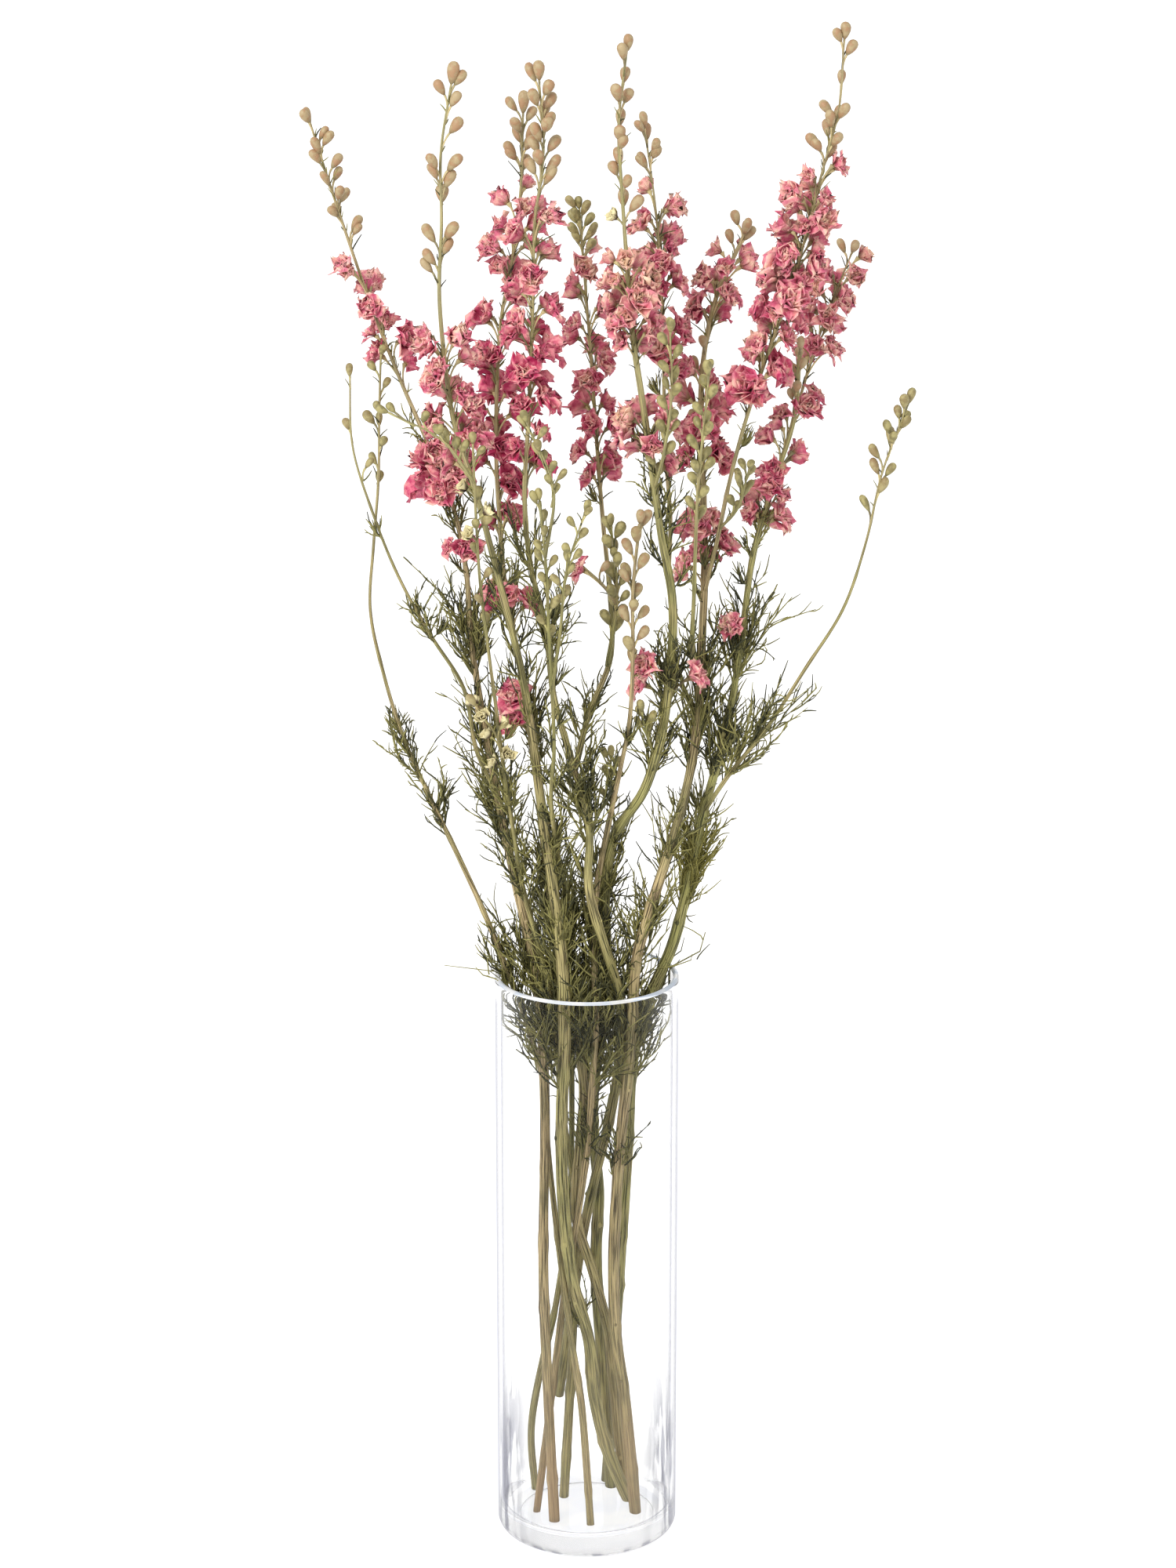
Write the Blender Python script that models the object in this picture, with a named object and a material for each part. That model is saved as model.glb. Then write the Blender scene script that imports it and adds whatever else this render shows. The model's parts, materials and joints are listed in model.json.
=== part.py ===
"""A bunch of dried double larkspur standing in a tall clear glass cylinder vase.

Eleven cut stems, each with its side branches, buds, blooms and thread leaves grown as one piece, stand
in the vase. Lengths and routes are in millimetres: +X to the right, +Y away from the viewer and +Z up,
from the centre of the vase's underside.
"""
import math
import random

import bmesh
import bpy
import numpy as np
from mathutils import Vector

MM = 0.001

# The vase
VASE_RADIUS = 50.0
VASE_HEIGHT = 325.0
VASE_WALL = 3.0
VASE_FLOOR = 10.5
FLOOR_ROUNDING = 9.0
VASE_SIDES = 32

# Clearance of neighbouring pieces, and of two stalks that lean on each other
GAP = 0.3
LEANING_GAP = 0.4
FOOT_Z = VASE_FLOOR + GAP
SLANT_ALLOWANCE = 1.16

# Stalks: distance between the rings of a tube, and the radii above which it has six or five sides
STATION = 36.0
THICK_STALK = 2.5
THIN_BRANCH = 1.8

# Laying the stems: rounds of pushing apart, and those of them that also smooth
ROUNDS = 170
SMOOTH_ROUNDS = 130

# What grows on the stalks
BLOOM_RADIUS = 10.6
STALK_END_RADIUS = 1.4
BLOOM_STALK_RADIUS = 0.9
BUD_LENGTH = 9.0
BUD_RADIUS = 2.9
BUD_STALK_RADIUS = 0.8
THREADS = 9
THREAD_RADIUS = 0.5
FORK_RADIUS = 1.1
ROOT_DEPTH = 0.8
GOLDEN_ANGLE = 137.5
SEED = 7

# Colours
STEM_COLOUR = (0.23, 0.20, 0.09, 1.0)
LEAF_COLOUR = (0.09, 0.11, 0.035, 1.0)
BUD_COLOUR = (0.45, 0.36, 0.18, 1.0)
BLOOM_COLOUR = (0.60, 0.12, 0.20, 1.0)
GLASS_COLOUR = (0.90, 0.93, 0.96, 1.0)

# Each strand: the cut stem that it grows with, its parent strand and the height where it leaves it (None
# for a main stem), its radius at the root and at the tip, and its route.
STRANDS = {
    "a": ("stem_a", None, 0, 3.0, 1.0, [
        (-18, -21, 11), (-22, -16, 100), (-24, -8, 165), (-23, 0, 253), (-28, 8, 323), (-40, 9, 381),
        (-52, 15, 442), (-63, 22, 514), (-66, 24, 560), (-82, 28, 606), (-100, 30, 649),
        (-115, 32, 689), (-130, 34, 734), (-144, 36, 779)]),
    "a_left": ("stem_a", "a", 422, 1.3, 0.7, [
        (-55, 5, 430), (-61, -3, 462), (-66, -9, 489), (-84, -16, 521), (-105, -22, 566),
        (-121, -26, 620), (-124, -27, 642), (-122, -27, 657)]),
    "b": ("stem_b", None, 0, 3.7, 0.9, [
        (23, 6, 11), (6, 1, 62), (2, -4, 107), (-9, -9, 156), (-14, -14, 227), (-12, -14, 299),
        (-15, -12, 352), (-23, -12, 414), (-33, -18, 491), (-45, -24, 546), (-58, -31, 600),
        (-69, -36, 639), (-75, -42, 704), (-72, -44, 762), (-75, -45, 784), (-68, -45, 808)]),
    "c": ("stem_c", None, 0, 3.0, 1.0, [
        (-16, 30, 64), (-7, 20, 134), (1, 15, 186), (13, 10, 240), (19, 2, 295), (13, -6, 335),
        (2, -15, 362), (1, -19, 390), (1, -20, 416), (-6, -15, 443), (-16, -14, 473), (-22, -17, 527),
        (-32, -21, 570), (-31, -23, 618), (-28, -25, 682), (-26, -26, 746), (-20, -26, 786),
        (-24, -26, 808)]),
    "c_back": ("stem_c", "c", 443, 2.2, 0.8, [
        (-3, -4, 456), (2, 8, 471), (12, 20, 492), (13, 32, 519), (10, 46, 550), (7, 56, 583),
        (5, 64, 611), (2, 72, 653), (-1, 78, 690), (-4, 82, 728)]),
    "c_front": ("stem_c", "c_back", 492, 1.3, 0.8, [
        (15, 20, 511), (16, 12, 530), (14, 6, 551), (13, 2, 572)]),
    "c_front_left": ("stem_c", "c_front", 528, 0.9, 0.7, [
        (10, 4, 539), (4, 0, 545), (-2, -3, 552)]),
    "d": ("stem_d", None, 0, 3.0, 0.9, [
        (22, 14, 11), (18, 16, 45), (13, 11, 100), (7, 5, 139), (-5, -1, 175), (-5, 4, 210),
        (-2, 4, 265), (-11, 0, 323), (-18, 2, 361), (-24, 4, 409), (-28, 6, 455), (-35, 8, 492),
        (-43, 16, 532), (-46, 19, 569), (-48, 20, 620), (-45, 20, 678), (-40, 20, 703),
        (-34, 20, 752), (-33, 20, 786)]),
    "e": ("stem_e", None, 0, 3.5, 0.8, [
        (14, 24, 11), (11, 24, 75), (6, 21, 142), (7, 24, 198), (3, 24, 245), (12, 20, 311),
        (9, 14, 353), (15, 0, 404), (31, -12, 433), (41, -20, 474), (45, -23, 535), (37, -25, 583),
        (31, -27, 631), (24, -29, 674), (18, -32, 751), (16, -32, 785), (20, -32, 823)]),
    "e_back": ("stem_e", "e", 551, 2.4, 0.8, [
        (45, -14, 562), (44, -4, 576), (41, 12, 617), (40, 18, 674), (37, 21, 727), (30, 22, 778)]),
    "e_front": ("stem_e", "e", 598, 1.2, 0.7, [
        (38, -40, 613), (43, -54, 646), (42, -57, 687)]),
    "e_low": ("stem_e", "e", 405, 0.9, 0.7, [
        (13, 8, 420), (13, 14, 441)]),
    "e_low_front": ("stem_e", "e", 452, 0.9, 0.7, [
        (31, -28, 468), (29, -32, 480)]),
    "f": ("stem_f", None, 0, 3.4, 0.8, [
        (27, -10, 11), (22, -4, 69), (15, -2, 132), (17, 0, 211), (24, -1, 286), (27, -5, 336),
        (44, -6, 396), (54, 0, 432), (60, 8, 473), (62, 16, 526), (63, 24, 560), (61, 37, 604),
        (62, 48, 653), (70, 55, 689), (83, 58, 717)]),
    "f_right": ("stem_f", "f", 532, 2.4, 0.8, [
        (66, 13, 547), (71, 6, 575), (79, -3, 616), (93, -12, 665), (106, -17, 705), (116, -19, 745),
        (125, -21, 783), (132, -21, 812), (130, -21, 828)]),
    "f_front": ("stem_f", "f", 486, 1.4, 0.7, [
        (56, -8, 505), (56, -34, 552), (57, -52, 605), (62, -64, 666)]),
    "f_small": ("stem_f", "f_right", 570, 0.9, 0.7, [
        (77, -8, 580), (82, -24, 598), (84, -28, 609)]),
    "g": ("stem_g", None, 0, 3.5, 0.9, [
        (13, 35, 11), (15, 28, 75), (18, 22, 129), (24, 20, 209), (28, 18, 272), (41, 12, 320),
        (54, 14, 348), (59, 15, 383), (66, 12, 417), (74, 12, 450), (82, 13, 494), (89, 15, 554),
        (103, 18, 605), (112, 20, 637), (112, 20, 662)]),
    "g_right": ("stem_g", "g", 608, 1.6, 0.8, [
        (111, 32, 628), (124, 46, 668), (134, 50, 692), (140, 51, 709)]),
    "g_far_right": ("stem_g", "g", 413, 1.3, 0.7, [
        (69, 0, 425), (78, -10, 441), (98, -20, 471), (111, -24, 494), (138, -30, 543),
        (148, -32, 585), (155, -33, 617), (165, -34, 644)]),
    "h": ("stem_h", None, 0, 1.8, 0.9, [
        (2, -26, 11), (-3, -20, 81), (-11, -10, 133), (-21, 12, 212), (-25, 16, 261), (-43, 10, 322),
        (-60, 6, 368), (-81, 7, 415), (-96, 10, 448), (-109, 14, 490), (-116, 17, 531),
        (-111, 19, 578), (-110, 20, 616), (-108, 20, 666)]),
    "i": ("stem_i", None, 0, 1.7, 0.8, [
        (-33, 22, 11), (-34, 20, 58), (-21, 15, 117), (-11, 14, 184), (-9, 14, 257), (-10, 14, 321),
        (-11, 6, 360), (-15, -8, 392), (-19, -24, 425), (-17, -44, 470), (-19, -58, 514),
        (-21, -70, 570), (-24, -75, 602)]),
    "i_left": ("stem_i", "i", 572, 1.0, 0.7, [
        (-17, -76, 600), (-19, -79, 627), (-30, -80, 643)]),
    "i_right": ("stem_i", "i", 498, 1.0, 0.7, [
        (-14, -62, 525), (-13, -72, 555), (-7, -79, 576), (-1, -83, 598)]),
    "j": ("stem_j", None, 0, 1.7, 0.8, [
        (-13, 10, 11), (-9, 10, 85), (-6, 8, 153), (-6, 9, 183), (-14, 2, 253), (-20, 2, 317),
        (-32, -4, 362), (-39, -14, 408), (-44, -26, 448), (-48, -36, 487), (-55, -49, 553),
        (-57, -56, 595), (-58, -60, 628)]),
    "j_left": ("stem_j", "j", 608, 0.9, 0.7, [
        (-63, -62, 624), (-78, -65, 634), (-100, -67, 646)]),
    "j_low": ("stem_j", "j", 448, 0.9, 0.7, [
        (-46, -33, 463), (-50, -39, 474), (-58, -43, 486)]),
    "k": ("stem_k", None, 0, 2.1, 0.8, [
        (-28, -9, 11), (-18, 0, 92), (-12, 1, 142), (-7, -7, 176), (0, -6, 224), (5, -8, 304),
        (4, 4, 337), (6, -1, 379), (16, -18, 436), (23, -36, 482), (24, -46, 529), (24, -52, 565),
        (27, -56, 586)]),
}

# Blooms along a strand: the row's lowest and highest height, how many, their size against BLOOM_RADIUS,
# their distance from the stem, and the azimuth of the lowest one.
BLOOM_ROWS = [
    ("a", 656, 708, 6, 1.0, 11, 200), ("a", 590, 606, 3, 1.35, 11, 160),
    ("a", 556, 560, 1, 1.0, 11, 290), ("b", 624, 688, 8, 1.0, 13, 20),
    ("c", 640, 745, 11, 1.0, 11, 330), ("c", 610, 612, 1, 0.9, 10, 0),
    ("c_back", 588, 704, 10, 0.95, 10, 60), ("c_front_left", 549, 551, 1, 0.7, 6, 180),
    ("d", 590, 748, 13, 1.05, 12, 180), ("d", 572, 576, 1, 1.0, 11, 0),
    ("d", 526, 540, 2, 0.95, 14, 340), ("d", 466, 470, 1, 0.95, 17, 215),
    ("e", 684, 718, 8, 0.95, 12, 200), ("e", 628, 640, 3, 1.1, 12, 180),
    ("e", 494, 502, 2, 0.9, 20, 215), ("e_back", 694, 742, 6, 0.95, 11, 0),
    ("e_back", 662, 672, 1, 1.35, 9, 250), ("f", 680, 706, 5, 0.95, 12, 180),
    ("f", 603, 640, 5, 1.15, 12, 330), ("f", 548, 578, 4, 0.95, 13, 190),
    ("f_right", 684, 752, 13, 1.05, 12, 20), ("f_right", 766, 769, 1, 0.75, 8, 0),
    ("f_right", 646, 666, 2, 1.25, 11, 250), ("g_right", 660, 703, 6, 0.95, 12, 350),
    ("g_right", 630, 634, 1, 0.95, 11, 300), ("g", 570, 622, 5, 0.95, 12, 340),
    ("g", 516, 520, 1, 0.85, 13, 235),
]

# Buds along a strand: the row's lowest and highest height, how many, their size, the length of their stalks,
# and the azimuth of the lowest one.
BUD_ROWS = [
    ("a", 714, 779, 7, 0.95, 4, 0), ("a_left", 596, 656, 3, 0.8, 4, 0),
    ("b", 700, 806, 6, 1.15, 6, 180), ("c", 752, 806, 5, 1.1, 5, 0), ("d", 756, 784, 3, 1.1, 5, 180),
    ("c_back", 708, 727, 3, 0.9, 4, 0), ("e", 730, 821, 5, 1.1, 5, 0),
    ("e_back", 750, 777, 3, 0.95, 5, 180), ("f", 711, 716, 2, 1.0, 4, 0),
    ("f_right", 760, 827, 4, 1.05, 5, 180), ("g", 634, 660, 3, 0.85, 5, 0),
    ("g_right", 707, 708, 1, 0.9, 4, 0), ("g_far_right", 598, 643, 5, 0.9, 5, 0),
    ("h", 606, 665, 2, 0.9, 4, 180), ("i", 530, 600, 3, 0.8, 5, 0), ("i_left", 604, 642, 3, 0.8, 4, 0),
    ("i_right", 560, 597, 2, 0.8, 4, 0), ("j_left", 618, 645, 3, 0.85, 4, 90),
    ("j", 566, 627, 2, 0.85, 5, 0), ("j_low", 466, 485, 3, 0.9, 3, 0), ("k", 520, 585, 3, 1.0, 4, 0),
    ("c_front", 520, 571, 4, 0.8, 4, 0), ("c_front_left", 543, 547, 1, 0.8, 4, 0),
    ("e_front", 618, 686, 3, 0.8, 4, 0), ("f_front", 600, 665, 3, 0.8, 4, 0),
    ("f_small", 590, 608, 3, 0.75, 3, 0), ("e_low", 424, 440, 2, 0.75, 4, 0),
    ("e_low_front", 470, 479, 2, 0.75, 3, 0),
]

# Feathery leaves along a strand: the row's lowest and highest height, how many, and their length.
LEAF_ROWS = [
    ("a", 275, 560, 7, 33), ("a_left", 485, 600, 2, 22), ("b", 280, 610, 7, 32), ("c", 300, 560, 5, 31),
    ("c_back", 500, 590, 2, 25), ("d", 265, 590, 7, 32), ("e", 272, 610, 7, 33),
    ("e_back", 580, 660, 2, 25), ("f", 268, 620, 7, 35), ("f_right", 590, 640, 1, 25),
    ("g", 355, 560, 5, 34), ("g_far_right", 420, 450, 1, 38), ("h", 395, 480, 2, 30),
    ("i", 320, 510, 3, 25), ("j", 290, 500, 3, 25), ("k", 285, 490, 3, 27),
]


def curve_points(points, step):
    """Points every step along a smooth curve through the route's points, its two ends among them."""
    ends = [2 * points[0] - points[1]] + list(points) + [2 * points[-1] - points[-2]]
    fine = []
    for p0, p1, p2, p3 in zip(ends, ends[1:], ends[2:], ends[3:]):
        for t in np.linspace(0, 1, 12, endpoint=False):
            fine.append(0.5 * (2 * p1 + (p2 - p0) * t + (2 * p0 - 5 * p1 + 4 * p2 - p3) * t ** 2
                               + (3 * p1 - p0 - 3 * p2 + p3) * t ** 3))
    fine = np.array(fine + [points[-1]])
    along = np.concatenate([[0], np.cumsum(np.linalg.norm(np.diff(fine, axis=0), axis=1))])
    count = max(2, round(along[-1] / step))
    wanted = np.linspace(0, along[-1], count + 1)
    return np.stack([np.interp(wanted, along, fine[:, axis]) for axis in range(3)], axis=1)


def at_height(line, z):
    """The point of a strand at a height, and its direction there."""
    heights = line[:, 2]
    index = int(np.clip(np.searchsorted(heights, z) - 1, 0, len(line) - 2))
    t = (z - heights[index]) / max(heights[index + 1] - heights[index], 1e-6)
    point = line[index] + (line[index + 1] - line[index]) * np.clip(t, 0, 1)
    direction = line[index + 1] - line[index]
    return point, direction / np.linalg.norm(direction)


def radius_along(root, tip, count):
    return [root + (tip - root) * (k / (count - 1)) ** 1.8 for k in range(count)]


def nearest_on_segments(starts, ends, other_starts, other_ends):
    """Where pairs of segments come closest: the fractions along each, and the vector between them."""
    along, other_along, offset = ends - starts, other_ends - other_starts, starts - other_starts
    length, other_length = (along * along).sum(-1), (other_along * other_along).sum(-1)
    slant = (along * other_along).sum(-1)
    ahead, other_ahead = (along * offset).sum(-1), (other_along * offset).sum(-1)
    crossing = length * other_length - slant * slant
    parallel = crossing <= 1e-9
    solved = (slant * other_ahead - ahead * other_length) / np.where(parallel, 1, crossing)
    fraction = np.clip(np.where(parallel, 0.5, solved), 0, 1)
    other_fraction = np.clip((slant * fraction + other_ahead) / np.maximum(other_length, 1e-9), 0, 1)
    fraction = np.clip((slant * other_fraction - ahead) / np.maximum(length, 1e-9), 0, 1)
    between = starts + along * fraction[..., None] - other_starts - other_along * other_fraction[..., None]
    return fraction, other_fraction, between


def keep_in_vase(points, first, radii):
    """Moves the segments that start at the given points inwards, where they would reach the glass."""
    for k in first:
        rim = (VASE_HEIGHT - points[k, 2]) / max(points[k + 1, 2] - points[k, 2], 1)
        for t in (0.0, 0.5, 1.0, min(max(rim, 0.0), 1.0)):
            place = points[k] * (1 - t) + points[k + 1] * t
            if place[2] > VASE_HEIGHT + 1:
                continue
            room = VASE_RADIUS - VASE_WALL - GAP - SLANT_ALLOWANCE * max(radii[k], radii[k + 1])
            if place[2] < VASE_FLOOR + FLOOR_ROUNDING:
                room -= FLOOR_ROUNDING
            out = math.hypot(place[0], place[1])
            if out > room:
                push = place[:2] * (room / out - 1)
                points[k, :2] += push * (1 - t)
                points[k + 1, :2] += push * t


def push_apart(points, radii, first, second):
    """Moves two lists of segments of different stems away from each other where they would overlap."""
    t, other_t, between = nearest_on_segments(
        points[first], points[first + 1], points[second], points[second + 1])
    widest = np.maximum(radii[:-1], radii[1:])
    wanted = widest[first] + widest[second] + LEANING_GAP
    distance = np.linalg.norm(between, axis=1)
    moves = np.zeros_like(points)
    shares = np.zeros(len(points))
    for k in np.flatnonzero(distance < wanted):
        push = between[k] / max(distance[k], 0.05) * (wanted[k] - distance[k]) * 0.55
        push[2] *= 0.3
        i, j = first[k], second[k]
        ends = ((i, 1 - t[k], 1), (i + 1, t[k], 1), (j, 1 - other_t[k], -1), (j + 1, other_t[k], -1))
        for index, weight, sign in ends:
            moves[index] += push * weight * sign
            shares[index] += weight
    points += moves / np.maximum(shares, 1)[:, None]


def lay_strands():
    """The strands' points, with crossing stems bent clear of each other and kept inside the vase."""
    lines = {}
    for name, (node, parent, height, root, tip, route) in STRANDS.items():
        points = [np.array(point, float) for point in route]
        if parent:
            points.insert(0, at_height(lines[parent], height)[0])
        lines[name] = curve_points(points, STATION)
    names = list(lines)
    counts = [len(lines[name]) for name in names]
    starts = [sum(counts[:k]) for k in range(len(counts))]
    points = np.concatenate([lines[name] for name in names])
    routed = points.copy()
    radii = np.concatenate([radius_along(*STRANDS[name][3:5], count) for name, count in zip(names, counts)])
    owner = np.concatenate([[ord(STRANDS[name][0][-1])] * count for name, count in zip(names, counts)])
    segments = np.array([k for k in range(len(points) - 1) if k + 1 not in starts])
    first, second = (segments[column] for column in np.triu_indices(len(segments), 1))
    apart = owner[first] != owner[second]
    first, second = first[apart], second[apart]
    for turn in range(ROUNDS):
        if turn % 10 == 0:
            middles = (points[:-1] + points[1:]) / 2
            near = np.linalg.norm(middles[first] - middles[second], axis=1) < STATION * 1.6
        push_apart(points, radii, first[near], second[near])
        drift = points - routed
        for start, count in zip(starts, counts):
            piece = drift[start:start + count]
            if turn < SMOOTH_ROUNDS:
                piece[1:-1] = piece[1:-1] * 0.8 + (piece[:-2] + piece[2:]) * 0.1
            piece[0, 2] = 0
        points = routed + drift
        keep_in_vase(points, segments, radii)
        for name, start, count in zip(names, starts, counts):
            line = lines[name] = points[start:start + count]
            parent, height = STRANDS[name][1:3]
            if parent:
                shift = at_height(lines[parent], height)[0] - line[0]
                for k, share in enumerate((1.0, 0.6, 0.25)[:count]):
                    line[k] += shift * share
    return lines


class Crowd:
    """What is placed so far, as capsules with their stem, so that stems keep clear of each other."""

    def __init__(self):
        self.starts, self.ends, self.radii, self.nodes, self.heads = [], [], [], [], []

    def add(self, node, capsules, heads=False):
        for start, end, radius in capsules:
            self.starts.append(start)
            self.ends.append(end)
            self.radii.append(radius)
            self.nodes.append(node)
            self.heads.append(heads)
        self.arrays = (np.array(self.starts), np.array(self.ends), np.array(self.radii))
        self.owners = np.array(self.nodes)
        self.are_heads = np.array(self.heads)

    def least(self, chosen, start, end, radius):
        """The least clearance of one capsule from the chosen ones."""
        starts, ends, radii = (column[chosen] for column in self.arrays)
        if not len(starts):
            return 1e9
        shape = (len(starts), 1)
        between = nearest_on_segments(np.tile(start, shape), np.tile(end, shape), starts, ends)[2]
        return float((np.linalg.norm(between, axis=1) - radii).min()) - radius

    def room(self, node, capsules):
        """The least clearance that the capsules have from the other stems and from the vase."""
        other = self.owners != node
        least = min(self.least(other, *capsule) for capsule in capsules)
        for start, end, radius in capsules:
            for point in (start, end, (start + end) / 2):
                if point[2] < VASE_HEIGHT + radius + 1:
                    out = math.hypot(point[0], point[1])
                    least = min(least, VASE_RADIUS - VASE_WALL - out - radius)
        return least

    def overlap(self, node, start, end, radius):
        """How deep a capsule reaches into a bloom or bud of its own stem, as zero or less."""
        own = (self.owners == node) & self.are_heads
        return min(0.0, self.least(own, start, end, radius))


def outward(azimuth, lift):
    """A unit direction at an azimuth from +X, raised by a slope."""
    angle = math.radians(azimuth)
    direction = np.array([math.cos(angle), math.sin(angle), lift])
    return direction / np.linalg.norm(direction)


def place_blooms(lines, crowd, draw):
    """Each bloom's stem, root on the strand, middle of its base, facing direction and radius."""
    blooms = []
    for strand, low, high, count, size, reach, first in BLOOM_ROWS:
        node = STRANDS[strand][0]
        for k in range(count):
            step = (high - low) / count
            height = low + step * (k + 0.5) + draw.uniform(-0.25, 0.25) * step
            root = at_height(lines[strand], height - reach * 0.5)[0]
            azimuth = first + GOLDEN_ANGLE * k + draw.uniform(-12, 12)
            lift = draw.uniform(0.35, 0.7)
            wanted = BLOOM_RADIUS * size * draw.uniform(0.92, 1.1)
            best = None
            for scale in (1.0, 0.88, 0.76, 0.66):
                for turn in (0, 20, -20, 40, -40, 65, -65, 95, -95, 130, -130, 180):
                    facing = outward(azimuth + turn, lift)
                    base = root + facing * reach * 0.62
                    radius = wanted * scale
                    stalk = (root, base, BLOOM_STALK_RADIUS)
                    head = (base + facing * radius * 0.25, base + facing * radius * 0.5, radius * 1.02)
                    if crowd.room(node, [stalk, head]) < GAP:
                        continue
                    score = crowd.overlap(node, *head) - abs(turn) * 0.03
                    if best is None or score > best[0]:
                        best = (score, stalk, head, base, facing, radius)
                if best:
                    break
            if best:
                score, stalk, head, base, facing, radius = best
                crowd.add(node, [stalk])
                crowd.add(node, [head], heads=True)
                blooms.append((node, root, base, facing, radius))
    return blooms


def place_buds(lines, crowd, draw):
    """Each bud's stem, root, base, direction, length and radius. A row's last bud may end its strand."""
    buds = []
    for strand, low, high, count, size, stalk, first in BUD_ROWS:
        node = STRANDS[strand][0]
        line = lines[strand]
        for k in range(count):
            height = low + (high - low) * (k + 0.5) / count
            length = BUD_LENGTH * size * draw.uniform(0.88, 1.1)
            radius = BUD_RADIUS * size
            azimuth = first + GOLDEN_ANGLE * k + draw.uniform(-15, 15)
            root, along = at_height(line, height)
            terminal = k == count - 1 and high > line[-1, 2] - 4
            best = None
            for turn in (0, 35, -35, 70, -70, 110, -110, 180):
                if terminal:
                    root, direction = line[-1], along + outward(azimuth + turn, 0) * abs(turn) / 200
                    direction = direction / np.linalg.norm(direction)
                    base = root + direction * 0.6
                else:
                    direction = outward(azimuth + turn, 1.3)
                    base = root + direction * stalk
                stem = (root, base, BUD_STALK_RADIUS)
                head = (base + direction * radius, base + direction * length * 0.75, radius)
                if crowd.room(node, [stem, head]) < GAP:
                    continue
                score = crowd.overlap(node, *head) - abs(turn) * 0.01
                if best is None or score > best[0]:
                    best = (score, stem, head, base, direction)
            if best:
                score, stem, head, base, direction = best
                crowd.add(node, [stem])
                crowd.add(node, [head], heads=True)
                buds.append((node, root, base, direction, length, radius))
    return buds


def place_leaves(lines, crowd, draw):
    """Each feathery leaf's stem, root, the fork where its threads part, and their tips in turn round it."""
    leaves = []
    for strand, low, high, count, length in LEAF_ROWS:
        node = STRANDS[strand][0]
        for k in range(count):
            height = low + (high - low) * (k + 0.5) / count + draw.uniform(-6, 6)
            root = at_height(lines[strand], height)[0]
            azimuth = GOLDEN_ANGLE * k + draw.uniform(0, 60)
            best = None
            for turn in (0, 30, -30, 60, -60, 95, -95, 130, -130, 180):
                rachis = outward(azimuth + turn, draw.uniform(0.7, 1.4))
                fork = root + rachis * length * 0.4
                stalk = (root, fork, FORK_RADIUS)
                if crowd.room(node, [stalk]) < GAP:
                    continue
                score = crowd.overlap(node, fork, fork + rachis * length * 0.3, 5.0) - abs(turn) * 0.01
                if best is None or score > best[0]:
                    best = (score, stalk, rachis, fork)
            if best is None:
                continue
            score, stalk, rachis, fork = best
            crowd.add(node, [stalk])
            axes = np.array(frame_of(rachis))
            tips = []
            for side in range(THREADS):
                angle = 2 * math.pi * (side + 0.5) / THREADS
                for reach in (1.0, 0.8, 0.6, 0.4, 0.2, 0.1):
                    spread = draw.uniform(0.15, 0.95)
                    aside = math.sin(spread)
                    away = axes @ np.array([
                        math.cos(angle) * aside, math.sin(angle) * aside, math.cos(spread)])
                    tip = fork + away * length * reach * draw.uniform(0.55, 0.85)
                    if crowd.room(node, [(fork, tip, THREAD_RADIUS)]) > GAP:
                        break
                crowd.add(node, [(fork, tip, THREAD_RADIUS)])
                tips.append(tip)
            leaves.append((node, root, fork, tips))
    return leaves


def frame_of(direction):
    """A rotation whose Z axis is the direction."""
    return Vector(direction).normalized().to_track_quat("Z", "X").to_matrix()


def skin(bm, low, high, material):
    """Triangles or quads between two rings, where the higher one may have half or twice as many points."""
    n, m = len(low), len(high)
    faces = []
    if n == m:
        for k in range(n):
            faces.append((low[k], low[(k + 1) % n], high[(k + 1) % n], high[k]))
    elif m == 2 * n:
        for k in range(n):
            a, b, c = high[2 * k], high[2 * k + 1], high[(2 * k + 2) % m]
            faces += [(low[k], b, a), (low[k], c, b), (low[k], low[(k + 1) % n], c)]
    else:
        for k in range(m):
            a, b, c = low[2 * k], low[2 * k + 1], low[(2 * k + 2) % n]
            faces += [(a, b, high[k]), (b, c, high[k]), (high[k], c, high[(k + 1) % m])]
    for corners in faces:
        bm.faces.new(corners).material_index = material


def fan(bm, ring, tip, material, up):
    """Triangles from a ring to one point above or below it."""
    for k in range(len(ring)):
        corners = (ring[k], ring[(k + 1) % len(ring)], tip)
        bm.faces.new(corners if up else corners[::-1]).material_index = material


def ring_of(bm, centre, axes, radii, heights, turn=0.0):
    """A ring of points round a centre, one for each radius and height."""
    count = len(radii)
    points = []
    for k, (radius, height) in enumerate(zip(radii, heights)):
        angle = turn + 2 * math.pi * k / count
        offset = axes @ Vector((radius * math.cos(angle), radius * math.sin(angle), height))
        points.append(bm.verts.new((Vector(centre) + offset) * MM))
    return points


STEM, LEAF, BUD, BLOOM = range(4)


def tube(line, radii, sides):
    """A closed tube along a strand, its first ring level where it is a cut foot."""
    bm = bmesh.new()
    rings = []
    axes = None
    for k, (point, radius) in enumerate(zip(line, radii)):
        before, after = line[max(k - 1, 0)], line[min(k + 1, len(line) - 1)]
        direction = Vector(after - before).normalized()
        if axes is None:
            axes = frame_of((0, 0, 1) if point[2] < FOOT_Z + 5 else direction)
        else:
            axes = axes.col[2].rotation_difference(direction).to_matrix() @ axes
        rings.append(ring_of(bm, point, axes, [radius] * sides, [0] * sides))
    for low, high in zip(rings, rings[1:]):
        skin(bm, low, high, STEM)
    bm.faces.new(rings[0][::-1]).material_index = STEM
    bm.faces.new(rings[-1]).material_index = STEM
    return bm


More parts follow.
